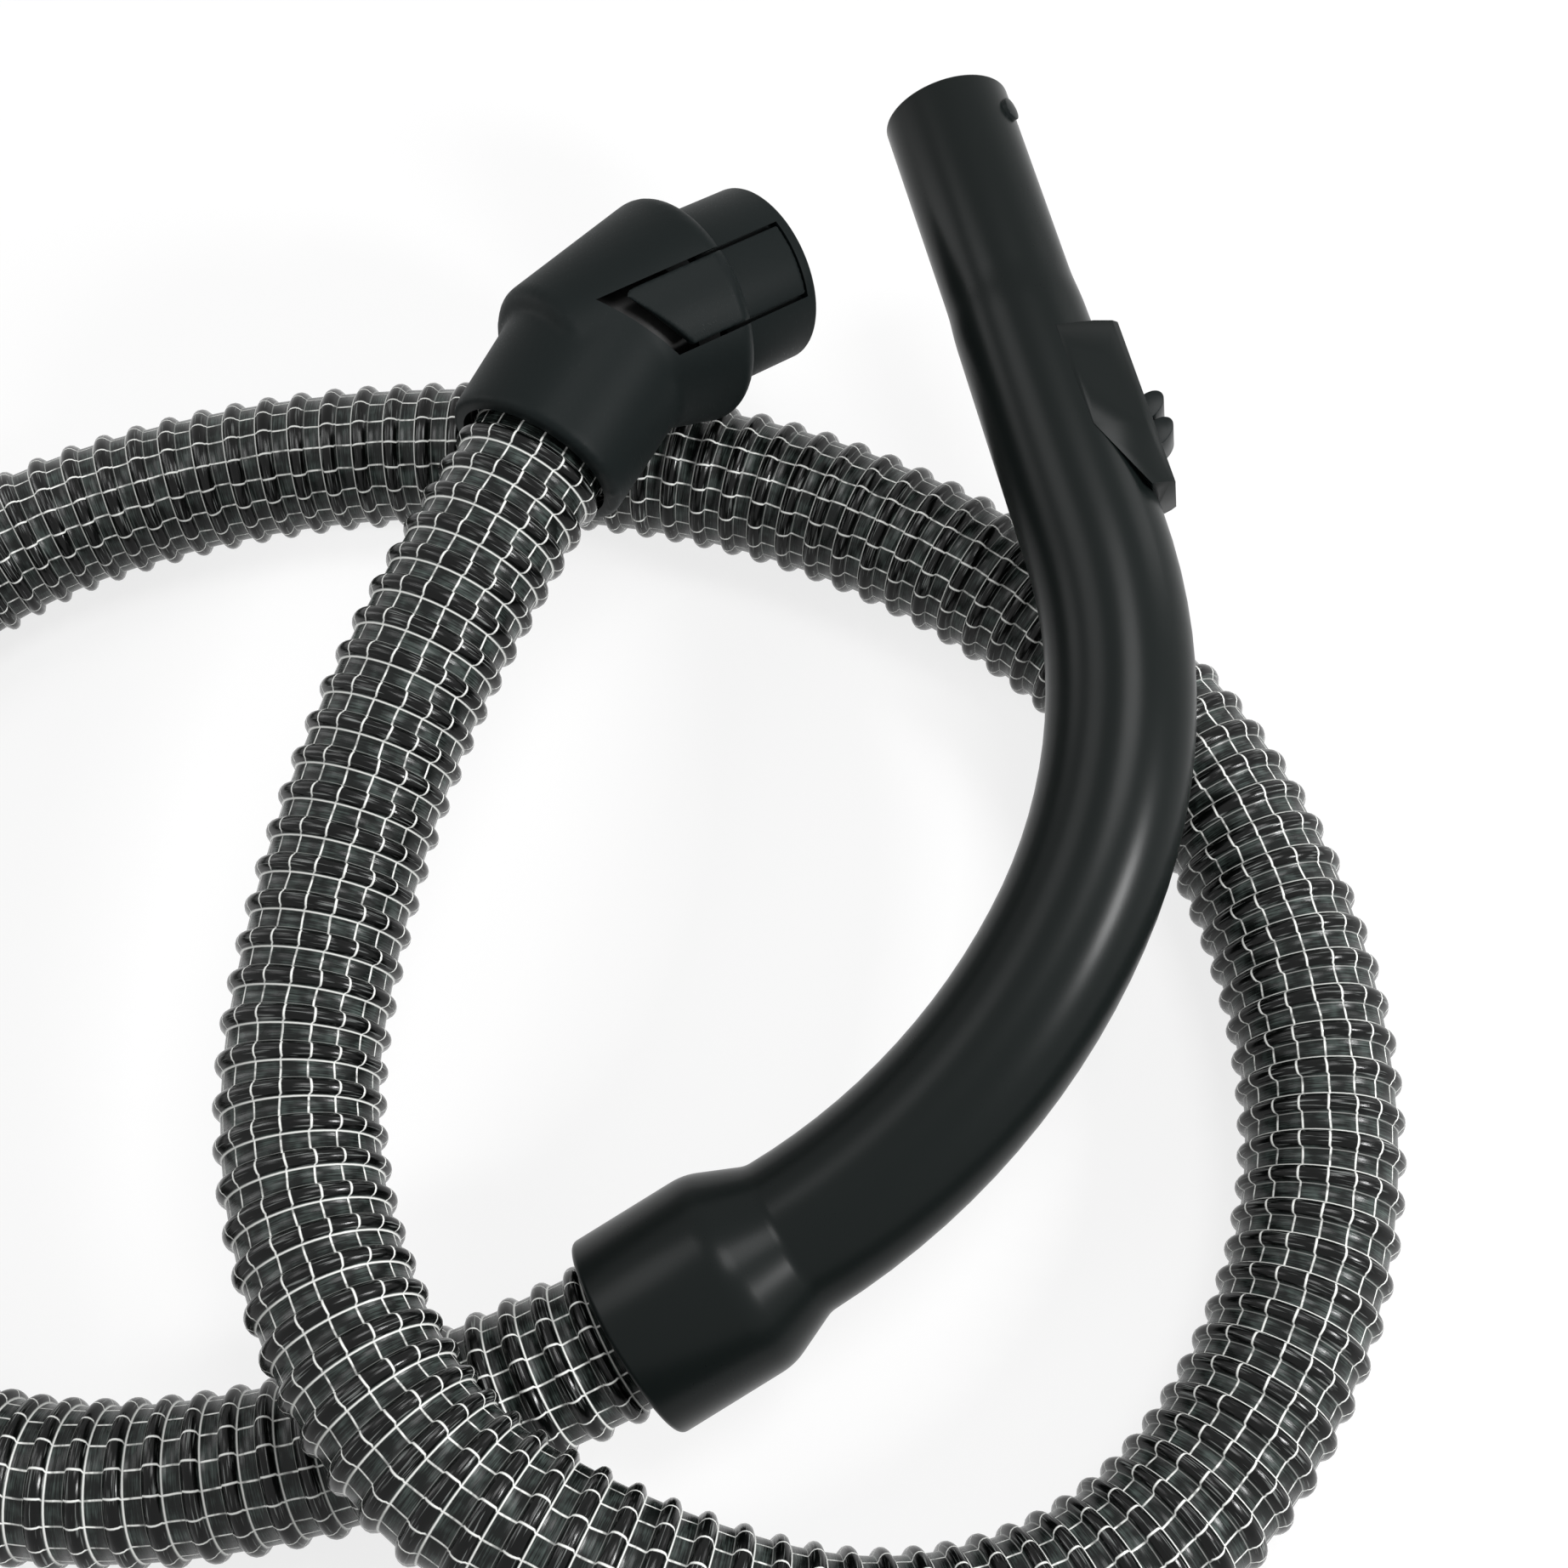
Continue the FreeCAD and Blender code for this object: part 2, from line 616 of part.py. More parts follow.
def button_clip(leg_top):
    """A hairpin leaf: one leg under the button, the other on the far wall of the bore."""
    bore = size("wand_r") - size("grip_wall")
    thick = size("clip_thick")
    half = size("clip_width") / 2
    foot = math.sqrt(bore ** 2 - half ** 2) - size("button_gap") / 2
    bend_r = (leg_top + foot) / 2
    back = -size("clip_length")
    middle_z = leg_top - bend_r
    lap = size("clip_lap")
    inner_r = bend_r - thick
    outer_path = Part.Wire([
        Part.LineSegment(Vector(lap, 0, leg_top), Vector(back, 0, leg_top)).toShape(),
        Part.Arc(Vector(back, 0, leg_top), Vector(back - bend_r, 0, middle_z),
                 Vector(back, 0, middle_z - bend_r)).toShape(),
        Part.LineSegment(Vector(back, 0, middle_z - bend_r),
                         Vector(lap, 0, middle_z - bend_r)).toShape(),
        Part.LineSegment(Vector(lap, 0, middle_z - bend_r),
                         Vector(lap, 0, middle_z - inner_r)).toShape(),
        Part.LineSegment(Vector(lap, 0, middle_z - inner_r),
                         Vector(back, 0, middle_z - inner_r)).toShape(),
        Part.Arc(Vector(back, 0, middle_z - inner_r), Vector(back - inner_r, 0, middle_z),
                 Vector(back, 0, middle_z + inner_r)).toShape(),
        Part.LineSegment(Vector(back, 0, middle_z + inner_r),
                         Vector(lap, 0, middle_z + inner_r)).toShape(),
        Part.LineSegment(Vector(lap, 0, middle_z + inner_r),
                         Vector(lap, 0, leg_top)).toShape(),
    ])
    clip = Part.Face(outer_path).extrude(Vector(0, 2 * half, 0))
    clip.translate(Vector(0, -half, 0))
    shaped("button_clip", clip, BUTTON)


# Elbow

def in_bend_frame(shape):
    """A shape of the mouth's frame, moved into the bend's frame."""
    moved = shape.copy()
    moved.Placement = BEND.inverse() * MOUTH * moved.Placement
    return moved


# Middle of the shoulder's arc, as shares of its length and of its height.
SHOULDER_ALONG, SHOULDER_OUT = 0.72, 0.69


def body_core(thinner):
    """Elbow body about the spigot axis: heel, cone and rounded shoulder."""
    back = -size("heel_back") + thinner
    bend = size("heel_round")
    heel = size("heel_r") - thinner
    front = size("body_front")
    top = size("body_r") - thinner
    end = size("shoulder_end") - thinner
    low = size("spigot_r") - thinner
    middle_x = front + (end - front) * SHOULDER_ALONG
    middle_r = low + (top - low) * SHOULDER_OUT
    return turned([
        (back, 0), (back, heel - bend),
        corner_middle(back + bend, heel - bend, bend, 135),
        (back + bend, heel), (front, top), (middle_x, middle_r, "arc"), (end, low), (end, 0),
    ])


def neck_core():
    """Neck about the mouth axis, with a rounded lip, ending inside the body."""
    bend = size("mouth_round")
    length = size("neck_length")
    return turned([
        (0, 0), (0, size("mouth_r") - bend),
        corner_middle(bend, size("mouth_r") - bend, bend, 135),
        (bend, size("mouth_r")), (length, size("neck_end_r")), (length, 0),
    ])


def latch_prism(side, spread, back_gap, root):
    """The strip of a latch seen from its own side, with its slanted pad end."""
    half = size("latch_half") + spread
    low = size("latch_low")
    high = 2 * size("body_r")
    skew = size("latch_skew") * half * side
    end = size("latch_end") - back_gap
    face = Part.Face(Part.makePolygon([
        Vector(end - skew, half, 0), Vector(end + skew, -half, 0), Vector(root, -half, 0),
        Vector(root, half, 0), Vector(end - skew, half, 0),
    ]))
    prism = face.extrude(Vector(0, 0, high - low))
    prism.translate(Vector(0, 0, low))
    return prism


LATCH_SIDES = (("latch_front", 1), ("latch_back", -1))


def to_side(shape, side):
    """Turns a shape made for the front latch to the latch's own side of the spigot."""
    moved = shape.copy()
    if side < 0:
        moved.rotate(Vector(0, 0, 0), Vector(1, 0, 0), 180)
    return moved


def latch_window(side):
    """The opening for a latch, which leaves the duct under it whole."""
    window = latch_prism(side, size("latch_gap"), size("finger_gap"), size("latch_root"))
    window = window.cut(rod(-size("body_r"), 4 * size("body_r"),
                            size("duct_r") + size("swivel_gap")))
    return to_side(window, side)


def spigot_core(radius):
    """The outer form of body and spigot together, for parts flush with both."""
    shrink = size("spigot_r") - radius
    plain = rod(size("spigot_start"), size("spigot_end") - size("spigot_start"), radius)
    return body_core(shrink).fuse(plain)


def elbow_shell():
    wall = size("elbow_wall")
    lip = size("lip_width")
    length = size("neck_length")
    shell = body_core(0).fuse(in_bend_frame(neck_core()))
    shell = shell.removeSplitter()
    hollow = body_core(wall)
    cavity = rod(lip, length - lip, size("neck_bore_r")).fuse(
        rod(-1, lip + 2, size("hose_r") + size("lip_gap")))
    groove_x = size("elbow_hose_depth") + size("cuff_end_wall") + size("swivel_gap")
    groove = rod(groove_x, size("snap_width"), size("neck_bore_r") + size("snap_bite"))
    front = rod(size("spigot_start"), size("spigot_end") - size("spigot_start"),
                size("spigot_r") + size("spigot_seat"))
    shell = shell.cut([hollow, in_bend_frame(cavity), in_bend_frame(groove), front])
    for _, side in LATCH_SIDES:
        shell = shell.cut(latch_window(side))
    return shaped("elbow_shell", shell, BEND)


def machine_spigot():
    start = size("spigot_start")
    seat_end = size("shoulder_end")
    end = size("spigot_end")
    bend = size("spigot_round")
    outer = size("spigot_r")
    seat = outer + size("spigot_seat")
    sleeve = outer - size("spigot_wall")
    web = end - size("rim_web")
    spigot = turned([
        (size("duct_joint"), size("duct_bore_r")), (end, size("duct_bore_r")),
        (end, outer - bend), corner_middle(end - bend, outer - bend, bend, 45),
        (end - bend, outer), (seat_end, outer), (seat_end, seat), (start, seat),
        (start, sleeve), (web, sleeve),
        (web, size("duct_r")), (size("duct_joint"), size("duct_r")),
    ])
    for _, side in LATCH_SIDES:
        spigot = spigot.cut(latch_window(side))
    return shaped("machine_spigot", spigot, BEND)


def inner_duct():
    """Bent duct from the cuff to the spigot."""
    start = (size("elbow_hose_depth") + size("cuff_end_wall") + size("snap_width")
             + 2 * size("swivel_gap"))
    length = size("neck_length")
    turn = BEND.inverse() * MOUTH
    neck_way = turn.Rotation.multVec(Vector(1, 0, 0))
    begin = neck_way * (start - length)
    end = Vector(size("duct_joint"), 0, 0)
    reach = length - start - size("duct_straight")
    enter = neck_way * -reach
    leave = Vector(reach, 0, 0)
    angle = neck_way.getAngle(leave)
    radius = reach / math.tan(angle / 2)
    inward = (leave - neck_way * reach).normalize()
    middle = inward * (radius / math.cos(angle / 2) - radius)
    path = Part.Wire([
        Part.LineSegment(begin, enter).toShape(), Part.Arc(enter, middle, leave).toShape(),
        Part.LineSegment(leave, end).toShape(),
    ])
    pipes = []
    for duct_r in (size("duct_r"), size("duct_bore_r")):
        pipes.append(path.makePipeShell([ring(begin, neck_way, duct_r)], True, False))
    return shaped("inner_duct", pipes[0].cut(pipes[1]), BEND)


def latches():
    thick = size("latch_thick")
    outer = size("spigot_r")
    skin = spigot_core(outer).cut(spigot_core(outer - thick))
    for label, side in LATCH_SIDES:
        strip = latch_prism(side, 0, 0, size("latch_root"))
        tongue = skin.common(to_side(strip, side))
        shaped(label, tongue, BEND)


# All sub-parts

shaped("hose", hose_shape(), Placement())
GRIP_CAVITY = "(Sizes.bell_r - Sizes.bell_wall)"
swivel_parts("handle", "Sizes.grip_cuff_start", "Sizes.grip_hose_depth", GRIP_CAVITY, BELL)
snap_ring("handle_snap_ring",
          "(Sizes.grip_cuff_start - Sizes.swivel_gap - Sizes.snap_width)", GRIP_CAVITY, BELL)
swivel_parts("elbow", "(Sizes.lip_width + Sizes.swivel_gap)", "Sizes.elbow_hose_depth",
             "Sizes.neck_bore_r", MOUTH)
snap_ring("elbow_snap_ring",
          "(Sizes.elbow_hose_depth + Sizes.cuff_end_wall + Sizes.swivel_gap)",
          "Sizes.neck_bore_r", MOUTH)
handle_tube()
vent_cover()
air_slider()
slider_spring()
button_clip(wand_button())
elbow_shell()
machine_spigot()
inner_duct()
latches()
doc.recompute()

PARTS = [item for item in doc.Objects
         if item.TypeId in ("PartDesign::Body", "Part::Feature")]
for item in doc.Objects:
    if "Invalid" in item.State or "Error" in item.State:
        raise RuntimeError("%s did not recompute" % item.Label)
for item in PARTS:
    if item.Shape.isNull() or not item.Shape.isValid():
        raise RuntimeError("%s has no valid shape" % item.Label)
    print("%-18s solids %d volume %.0f" % (item.Label, len(item.Shape.Solids),
                                           item.Shape.Volume))

os.makedirs("parts", exist_ok=True)
for item in PARTS:
    item.Shape.exportStep("parts/%s.step" % item.Label)
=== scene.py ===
"""Looks of a household vacuum cleaner hose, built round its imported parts."""

import json
import math

import bmesh
import bpy
from mathutils import Matrix, Vector


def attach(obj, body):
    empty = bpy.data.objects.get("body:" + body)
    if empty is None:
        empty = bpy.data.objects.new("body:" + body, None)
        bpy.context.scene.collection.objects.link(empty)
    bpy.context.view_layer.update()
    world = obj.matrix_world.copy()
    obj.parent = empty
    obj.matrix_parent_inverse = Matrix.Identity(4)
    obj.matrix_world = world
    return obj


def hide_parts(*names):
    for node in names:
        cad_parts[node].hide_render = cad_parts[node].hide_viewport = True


bl_info = {
    "name": "Vacuum Cleaner Hose",
    "version": (1, 0, 0),
    "blender": (4, 5, 0),
    "location": "3D View > Sidebar > Hose",
    "description": "Ribbed suction hose with a bent hand grip and a swivelling snap-in elbow",
    "category": "Add Mesh",
}

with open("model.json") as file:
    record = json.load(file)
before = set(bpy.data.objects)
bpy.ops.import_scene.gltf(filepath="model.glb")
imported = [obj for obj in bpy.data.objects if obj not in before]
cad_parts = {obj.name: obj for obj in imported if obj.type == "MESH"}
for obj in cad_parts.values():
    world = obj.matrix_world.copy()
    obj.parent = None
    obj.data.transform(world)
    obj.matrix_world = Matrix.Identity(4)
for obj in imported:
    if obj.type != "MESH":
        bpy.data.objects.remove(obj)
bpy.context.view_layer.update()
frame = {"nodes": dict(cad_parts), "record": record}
JOINTS = {joint["name"]: joint for joint in frame["record"]["behaviour"]["joints"]}

MM = 0.001
FULL_TURN = 2 * math.pi

# Frames, the same as the parts have. X runs along each piece.


def placed(origin, turn, rise, roll):
    """A frame from its origin in metres and its turns about Z, Y and X in degrees."""
    return (Matrix.Translation(origin)
            @ Matrix.Rotation(math.radians(turn), 4, "Z")
            @ Matrix.Rotation(math.radians(-rise), 4, "Y")
            @ Matrix.Rotation(math.radians(roll), 4, "X"))


BELL_TURN, BELL_RISE, GRIP_LEAN = 29.0, 8.5, 5.0
MOUTH_TURN, NECK_LENGTH = 62.0, 39.3 * MM
SPIGOT_TURN, SPIGOT_RISE, LATCH_ROLL = 38.9, -18.0, 37.0
BELL = placed(JOINTS["grip_swivel"]["pos_m"], BELL_TURN, BELL_RISE, GRIP_LEAN)
MOUTH = placed(JOINTS["elbow_swivel"]["pos_m"], MOUTH_TURN, 0, 0)
BEND = placed(MOUTH @ Vector((NECK_LENGTH, 0, 0)), SPIGOT_TURN, SPIGOT_RISE, LATCH_ROLL)

# Grip: bell, shoulder cone, two bends and the straight wand end.
BELL_R, BELL_LENGTH, NECK_R, NECK_X = 24.4 * MM, 29.4 * MM, 18.7 * MM, 43.4 * MM
BELL_WALL, BELL_DEPTH, GRIP_WALL = 2.0 * MM, 29.0 * MM, 2.0 * MM
# Each bend has its radius, its turn in degrees, and the tube's radius at its two ends.
BENDS = ((164.0 * MM, 34.0, 18.7 * MM, 17.7 * MM), (131.0 * MM, 41.4, 17.7 * MM, 17.3 * MM))
WAND_LENGTH, WAND_PLAIN, WAND_SHOULDER_R = 121.5 * MM, 56.0 * MM, 16.3 * MM
WAND_R = frame["record"]["mounts"][0]["dims"]["r_mm"] * MM


def wand_frame():
    """The frame at the end of the second bend, with the bends' outer side as its Z."""
    place = Vector((NECK_X, 0, 0))
    heading = 0.0
    for radius, turn, _, _ in BENDS:
        centre = place + Vector((-math.sin(heading), math.cos(heading), 0)) * radius
        heading += math.radians(turn)
        place = centre + Vector((math.sin(heading), -math.cos(heading), 0)) * radius
    turned = Matrix.Rotation(heading, 4, "Z") @ Matrix.Rotation(math.radians(90), 4, "X")
    return BELL @ Matrix.Translation(place) @ turned


WAND = wand_frame()


class HoseSizes(bpy.types.PropertyGroup):
    """Sizes of the ribbed hose."""
    crown_r: bpy.props.FloatProperty(
        name="Rib radius", description="Radius over the ribs", default=0.019,
        unit="LENGTH", precision=5)
    root_r: bpy.props.FloatProperty(
        name="Root radius", description="Radius between the ribs", default=0.01715,
        unit="LENGTH", precision=5)
    bore_r: bpy.props.FloatProperty(
        name="Bore radius", description="Radius of the air way", default=0.016,
        unit="LENGTH", precision=5)
    pitch: bpy.props.FloatProperty(
        name="Rib pitch", description="Distance from rib to rib", default=0.0085,
        unit="LENGTH", precision=5)
    sides: bpy.props.IntProperty(
        name="Sides", description="Points round each rib", default=54, min=18)
    yarns: bpy.props.IntProperty(
        name="Yarns", description="White yarns along the hose", default=18, min=1)


class Finishes(bpy.types.PropertyGroup):
    """Colours and gloss of the plastics."""
    grip_colour: bpy.props.FloatVectorProperty(
        name="Grip colour", description="Satin plastic of the hand grip",
        subtype="COLOR", size=3, default=(0.0056, 0.0076, 0.0074))
    elbow_colour: bpy.props.FloatVectorProperty(
        name="Elbow colour", description="Matte plastic of the elbow",
        subtype="COLOR", size=3, default=(0.0056, 0.0080, 0.0081))
    rib_colour: bpy.props.FloatVectorProperty(
        name="Rib colour", description="Glossy plastic of the ribs",
        subtype="COLOR", size=3, default=(0.0016, 0.0019, 0.0018))
    band_colour: bpy.props.FloatVectorProperty(
        name="Band colour", description="Clear skin over dark plastic between the ribs",
        subtype="COLOR", size=3, default=(0.0048, 0.0062, 0.0057))
    yarn_colour: bpy.props.FloatVectorProperty(
        name="Yarn colour", description="White yarn in the hose wall",
        subtype="COLOR", size=3, default=(0.86, 0.87, 0.84))
    grip_roughness: bpy.props.FloatProperty(
        name="Grip roughness", description="Gloss of the hand grip", default=0.29,
        min=0.0, max=1.0, subtype="FACTOR")
    elbow_roughness: bpy.props.FloatProperty(
        name="Elbow roughness", description="Gloss of the elbow", default=0.5,
        min=0.0, max=1.0, subtype="FACTOR")


# Mesh helpers


def pick_only(piece):
    """Makes one piece the only selected and active one."""
    bpy.ops.object.select_all(action="DESELECT")
    bpy.context.view_layer.objects.active = piece
    piece.select_set(True)


def face_outward():
    """Turns all faces of the active piece outward."""
    bpy.ops.object.mode_set(mode="EDIT")
    bpy.ops.mesh.select_all(action="SELECT")
    bpy.ops.mesh.normals_make_consistent(inside=False)
    bpy.ops.object.mode_set(mode="OBJECT")


def start_piece(name, points, size):
    """A circle of the given size to grow a piece from, in edit mode."""
    bpy.ops.object.select_all(action="DESELECT")
    bpy.ops.mesh.primitive_circle_add(vertices=points, radius=size, fill_type="NOTHING")
    piece = bpy.context.object
    piece.name = name
    bpy.ops.object.mode_set(mode="EDIT")
    bpy.ops.mesh.select_all(action="SELECT")
    return piece


def move_selected(piece, change):
    mesh = bmesh.from_edit_mesh(piece.data)
    for vertex in mesh.verts:
        if vertex.select:
            vertex.co = change @ vertex.co
    bmesh.update_edit_mesh(piece.data)


def ring_place(place, along, radius):
    """Where a unit circle goes to lie square to a frame's X axis at a distance along it."""
    lie = Matrix.Rotation(math.radians(90), 4, "Y")
    return place @ Matrix.Translation((along, 0, 0)) @ lie @ Matrix.Scale(radius, 4)


def ring_piece(name, rings, points=96, joined=False):
    """Extrudes a circle from ring to ring. It is capped, or joined end to end as a wall."""
    piece = start_piece(name, points, 1.0)
    move_selected(piece, rings[0])
    for before, after in zip(rings, rings[1:]):
        bpy.ops.mesh.extrude_region_move()
        move_selected(piece, after @ before.inverted())
    bpy.ops.mesh.select_all(action="SELECT")
    if joined:
        bpy.ops.mesh.remove_doubles(threshold=0.000001)
    else:
        bpy.ops.mesh.select_all(action="DESELECT")
        bpy.ops.mesh.select_non_manifold()
        bpy.ops.mesh.fill_holes(sides=0)
    bpy.ops.mesh.select_all(action="SELECT")
    bpy.ops.mesh.normals_make_consistent(inside=False)
    bpy.ops.object.mode_set(mode="OBJECT")
    return piece


def outline_rings(place, outline):
    """Rings about a frame's X axis, one for each (distance, radius) point of an outline."""
    return [ring_place(place, along, radius) for along, radius in outline]


def rod(name, place, start, end, radius):
    """A plain round bar along a frame's X axis, to cut with."""
    return ring_piece(name, outline_rings(place, [(start, radius), (end, radius)]))


def corner(centre_x, centre_r, size, start, end, steps=5):
    """Points of a rounded corner in an outline, from one angle to another in degrees."""
    points = []
    for index in range(steps + 1):
        angle = math.radians(start + (end - start) * index / steps)
        points.append((centre_x + size * math.cos(angle), centre_r + size * math.sin(angle)))
    return points


def softened(outline, first, last, reach, steps=6):
    """Rounds the outline's corners from first to last, each with a reach along both sides."""
    points = list(outline[:first])
    for index in range(first, last + 1):
        here = Vector(outline[index])
        before = Vector(outline[index - 1]) - here
        after = Vector(outline[index + 1]) - here
        cut = min(reach, before.length * 0.45, after.length * 0.45)
        enter = here + before.normalized() * cut
        leave = here + after.normalized() * cut
        for step in range(steps + 1):
            share = step / steps
            curve = (enter * (1 - share) ** 2 + here * 2 * share * (1 - share)
                     + leave * share ** 2)
            points.append(tuple(curve))
    return points + list(outline[last + 1:])


def apply_modifier(piece, kind, **values):
    pick_only(piece)
    modifier = piece.modifiers.new(kind.lower(), kind)
    for key, value in values.items():
        setattr(modifier, key, value)
    bpy.ops.object.modifier_apply(modifier=modifier.name)


def cut_with(piece, cutter, operation="DIFFERENCE"):
    """Cuts, joins or crosses a piece with another, which is used up."""
    apply_modifier(piece, "BOOLEAN", object=cutter, operation=operation, solver="EXACT")
    bpy.data.objects.remove(cutter)


def smooth(piece, degrees=35.0):
    pick_only(piece)
    bpy.ops.object.shade_smooth_by_angle(angle=math.radians(degrees))


def softened_copy(node, name, edge, degrees=35.0):
    """A part's own mesh with its doubles merged and its sharp edges rounded."""
    pick_only(frame["nodes"][node])
    bpy.ops.object.duplicate()
    piece = bpy.context.object
    piece.name = name
    for key in list(piece.keys()):
        del piece[key]
    piece.parent = None
    bpy.ops.object.mode_set(mode="EDIT")
    bpy.ops.mesh.customdata_custom_splitnormals_clear()
    bpy.ops.mesh.select_all(action="SELECT")
    bpy.ops.mesh.remove_doubles(threshold=0.000002)
    bpy.ops.mesh.dissolve_limited(angle_limit=math.radians(1.0))
    bpy.ops.object.mode_set(mode="OBJECT")
    apply_modifier(piece, "BEVEL", width=edge, segments=2, limit_method="ANGLE",
                   angle_limit=math.radians(degrees))
    smooth(piece)
    return piece


def finish_piece(piece, material, body, nodes):
    """Gives a piece its material, its moving body and the parts it stands for."""
    piece.data.materials.clear()
    piece.data.materials.append(material)
    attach(piece, body)
    if nodes:
        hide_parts(*nodes)


# Materials

# Gain of the pale band colour: partly the skin's own streaky mottle, partly a painted sheen in
# place of lamp light.
MOTTLE_AND_SHEEN_GAIN = 15.0
# Pale colour of the painted highlight lines on the ribs, painted in place of lamp glints.
PAINTED_HIGHLIGHT_COLOUR = (0.16, 0.17, 0.165)


def node_group(name, inputs, outputs):
    """A new group with number inputs (label, value) and outputs (label, kind)."""
    group = bpy.data.node_groups.new(name, "ShaderNodeTree")
    for label, value in inputs:
        socket = group.interface.new_socket(label, in_out="INPUT", socket_type="NodeSocketFloat")
        socket.default_value = value
    for label, kind in outputs:
        group.interface.new_socket(label, in_out="OUTPUT", socket_type=kind)
    return group, group.nodes.new("NodeGroupInput"), group.nodes.new("NodeGroupOutput")


def add_node(tree, kind, links=(), **values):
    """A node with its properties set; links holds (socket, source or number) pairs."""
    node = tree.nodes.new(kind)
    for key, value in values.items():
        setattr(node, key, value)
    for socket, source in links:
        if isinstance(source, (int, float, tuple)):
            node.inputs[socket].default_value = source
        else:
            tree.links.new(source, node.inputs[socket])
    return node


def math_node(tree, operation, first, second=0.0, third=0.0):
    node = add_node(tree, "ShaderNodeMath", ((0, first), (1, second), (2, third)),
                    operation=operation)
    return node.outputs[0]


def ramp(tree, value, low, high, to_low=0.0, to_high=1.0):
    """Carries a value from one range to another, held at both ends."""
    return add_node(tree, "ShaderNodeMapRange", (
        ("Value", value), ("From Min", low), ("From Max", high),
        ("To Min", to_low), ("To Max", to_high)))


def stretched_noise(tree, place, stretch, detail, scale=1.0, shift=()):
    """Noise over a place stretched along its axes; shift holds more mapping sockets."""
    mapped = add_node(tree, "ShaderNodeMapping", (
        ("Vector", place), ("Scale", stretch), *shift))
    return add_node(tree, "ShaderNodeTexNoise", (
        ("Vector", mapped.outputs[0]), ("Scale", scale), ("Detail", detail))).outputs["Fac"]


def moulded_group():
    """Fine moulded grain, faint cloudy gloss and a few hairline scratches."""
    group, source, sink = node_group(
        "moulded_plastic",
        [("Grain Size", 1500.0), ("Grain Height", 0.06), ("Roughness", 0.45),
         ("Cloudiness", 0.06), ("Scratches", 0.1)],
        [("Roughness", "NodeSocketFloat"), ("Normal", "NodeSocketVector")])
    place = add_node(group, "ShaderNodeTexCoord").outputs["Object"]
    grain = add_node(group, "ShaderNodeTexNoise", (
        ("Vector", place), ("Scale", source.outputs["Grain Size"]), ("Detail", 2.0)))
    cloud = add_node(group, "ShaderNodeTexNoise", (
        ("Vector", place), ("Scale", 45.0), ("Detail", 4.0)))
    lines = stretched_noise(group, place, (2600.0, 2200.0, 60.0), 1.0,
                            shift=(("Rotation", (0.5, 0.35, 0.2)),))
    hairline = math_node(group, "MULTIPLY", math_node(group, "SUBTRACT", lines, 0.62), 8.0)
    hairline = add_node(group, "ShaderNodeClamp", (("Value", hairline),)).outputs[0]
    scratched = math_node(group, "MULTIPLY", hairline, source.outputs["Scratches"])
    spread = math_node(group, "SUBTRACT", cloud.outputs["Fac"], 0.5)
    spread = math_node(group, "MULTIPLY", spread, source.outputs["Cloudiness"])
    rough = math_node(group, "ADD", source.outputs["Roughness"], spread)
    rough = math_node(group, "SUBTRACT", rough, math_node(group, "MULTIPLY", scratched, 0.5))
    height = math_node(group, "MULTIPLY", grain.outputs["Fac"], source.outputs["Grain Height"])
    height = math_node(group, "ADD", height, scratched)
    bump = add_node(group, "ShaderNodeBump", (
        ("Height", height), ("Strength", 0.25), ("Distance", 0.0002)))
    group.links.new(rough, sink.inputs["Roughness"])
    group.links.new(bump.outputs[0], sink.inputs["Normal"])
    return group


def shared_group(name, maker):
    return bpy.data.node_groups.get(name) or maker()


def new_material(name):
    material = bpy.data.materials.new(name)
    material.use_nodes = True
    return material, material.node_tree, material.node_tree.nodes["Principled BSDF"]


def moulded(name, colour, roughness, specular, grain=1500.0, height=0.06, scratches=0.1):
    """A moulded plastic finish with its own colour and gloss."""
    found = bpy.data.materials.get(name)
    if found:
        return found
    material, tree, shader = new_material(name)
    group = add_node(tree, "ShaderNodeGroup",
                     node_tree=shared_group("moulded_plastic", moulded_group))
    group.inputs["Grain Size"].default_value = grain
    group.inputs["Grain Height"].default_value = height
    group.inputs["Roughness"].default_value = roughness
    group.inputs["Scratches"].default_value = scratches
    tree.links.new(group.outputs["Roughness"], shader.inputs["Roughness"])
    tree.links.new(group.outputs["Normal"], shader.inputs["Normal"])
    shader.inputs["Base Color"].default_value = (*colour, 1.0)
    shader.inputs["Specular IOR Level"].default_value = specular
    return material


def brushed_steel():
    """Drawn spring steel with fine lines along one axis."""
    material, tree, shader = new_material("steel_drawn")
    place = add_node(tree, "ShaderNodeTexCoord").outputs["Object"]
    drawn = stretched_noise(tree, place, (80.0, 80.0, 3000.0), 3.0)
    rough = ramp(tree, drawn, 0.0, 1.0, 0.22, 0.42)
    tree.links.new(rough.outputs[0], shader.inputs["Roughness"])
    shader.inputs["Base Color"].default_value = (0.55, 0.56, 0.58, 1.0)
    shader.inputs["Metallic"].default_value = 1.0
    return material


def line_mask(tree, value, centre, half, soft):
    """One inside a stripe about a centre, falling to zero over a soft edge."""
    away = math_node(tree, "ABSOLUTE", math_node(tree, "SUBTRACT", value, centre))
    edge = ramp(tree, math_node(tree, "SUBTRACT", half, away), -soft, soft)
    edge.interpolation_type = "SMOOTHSTEP"
    return edge.outputs[0]


def highest(tree, *masks):
    """The strongest of several masks."""
    result = masks[0]
    for mask in masks[1:]:
        result = math_node(tree, "MAXIMUM", result, mask)
    return result


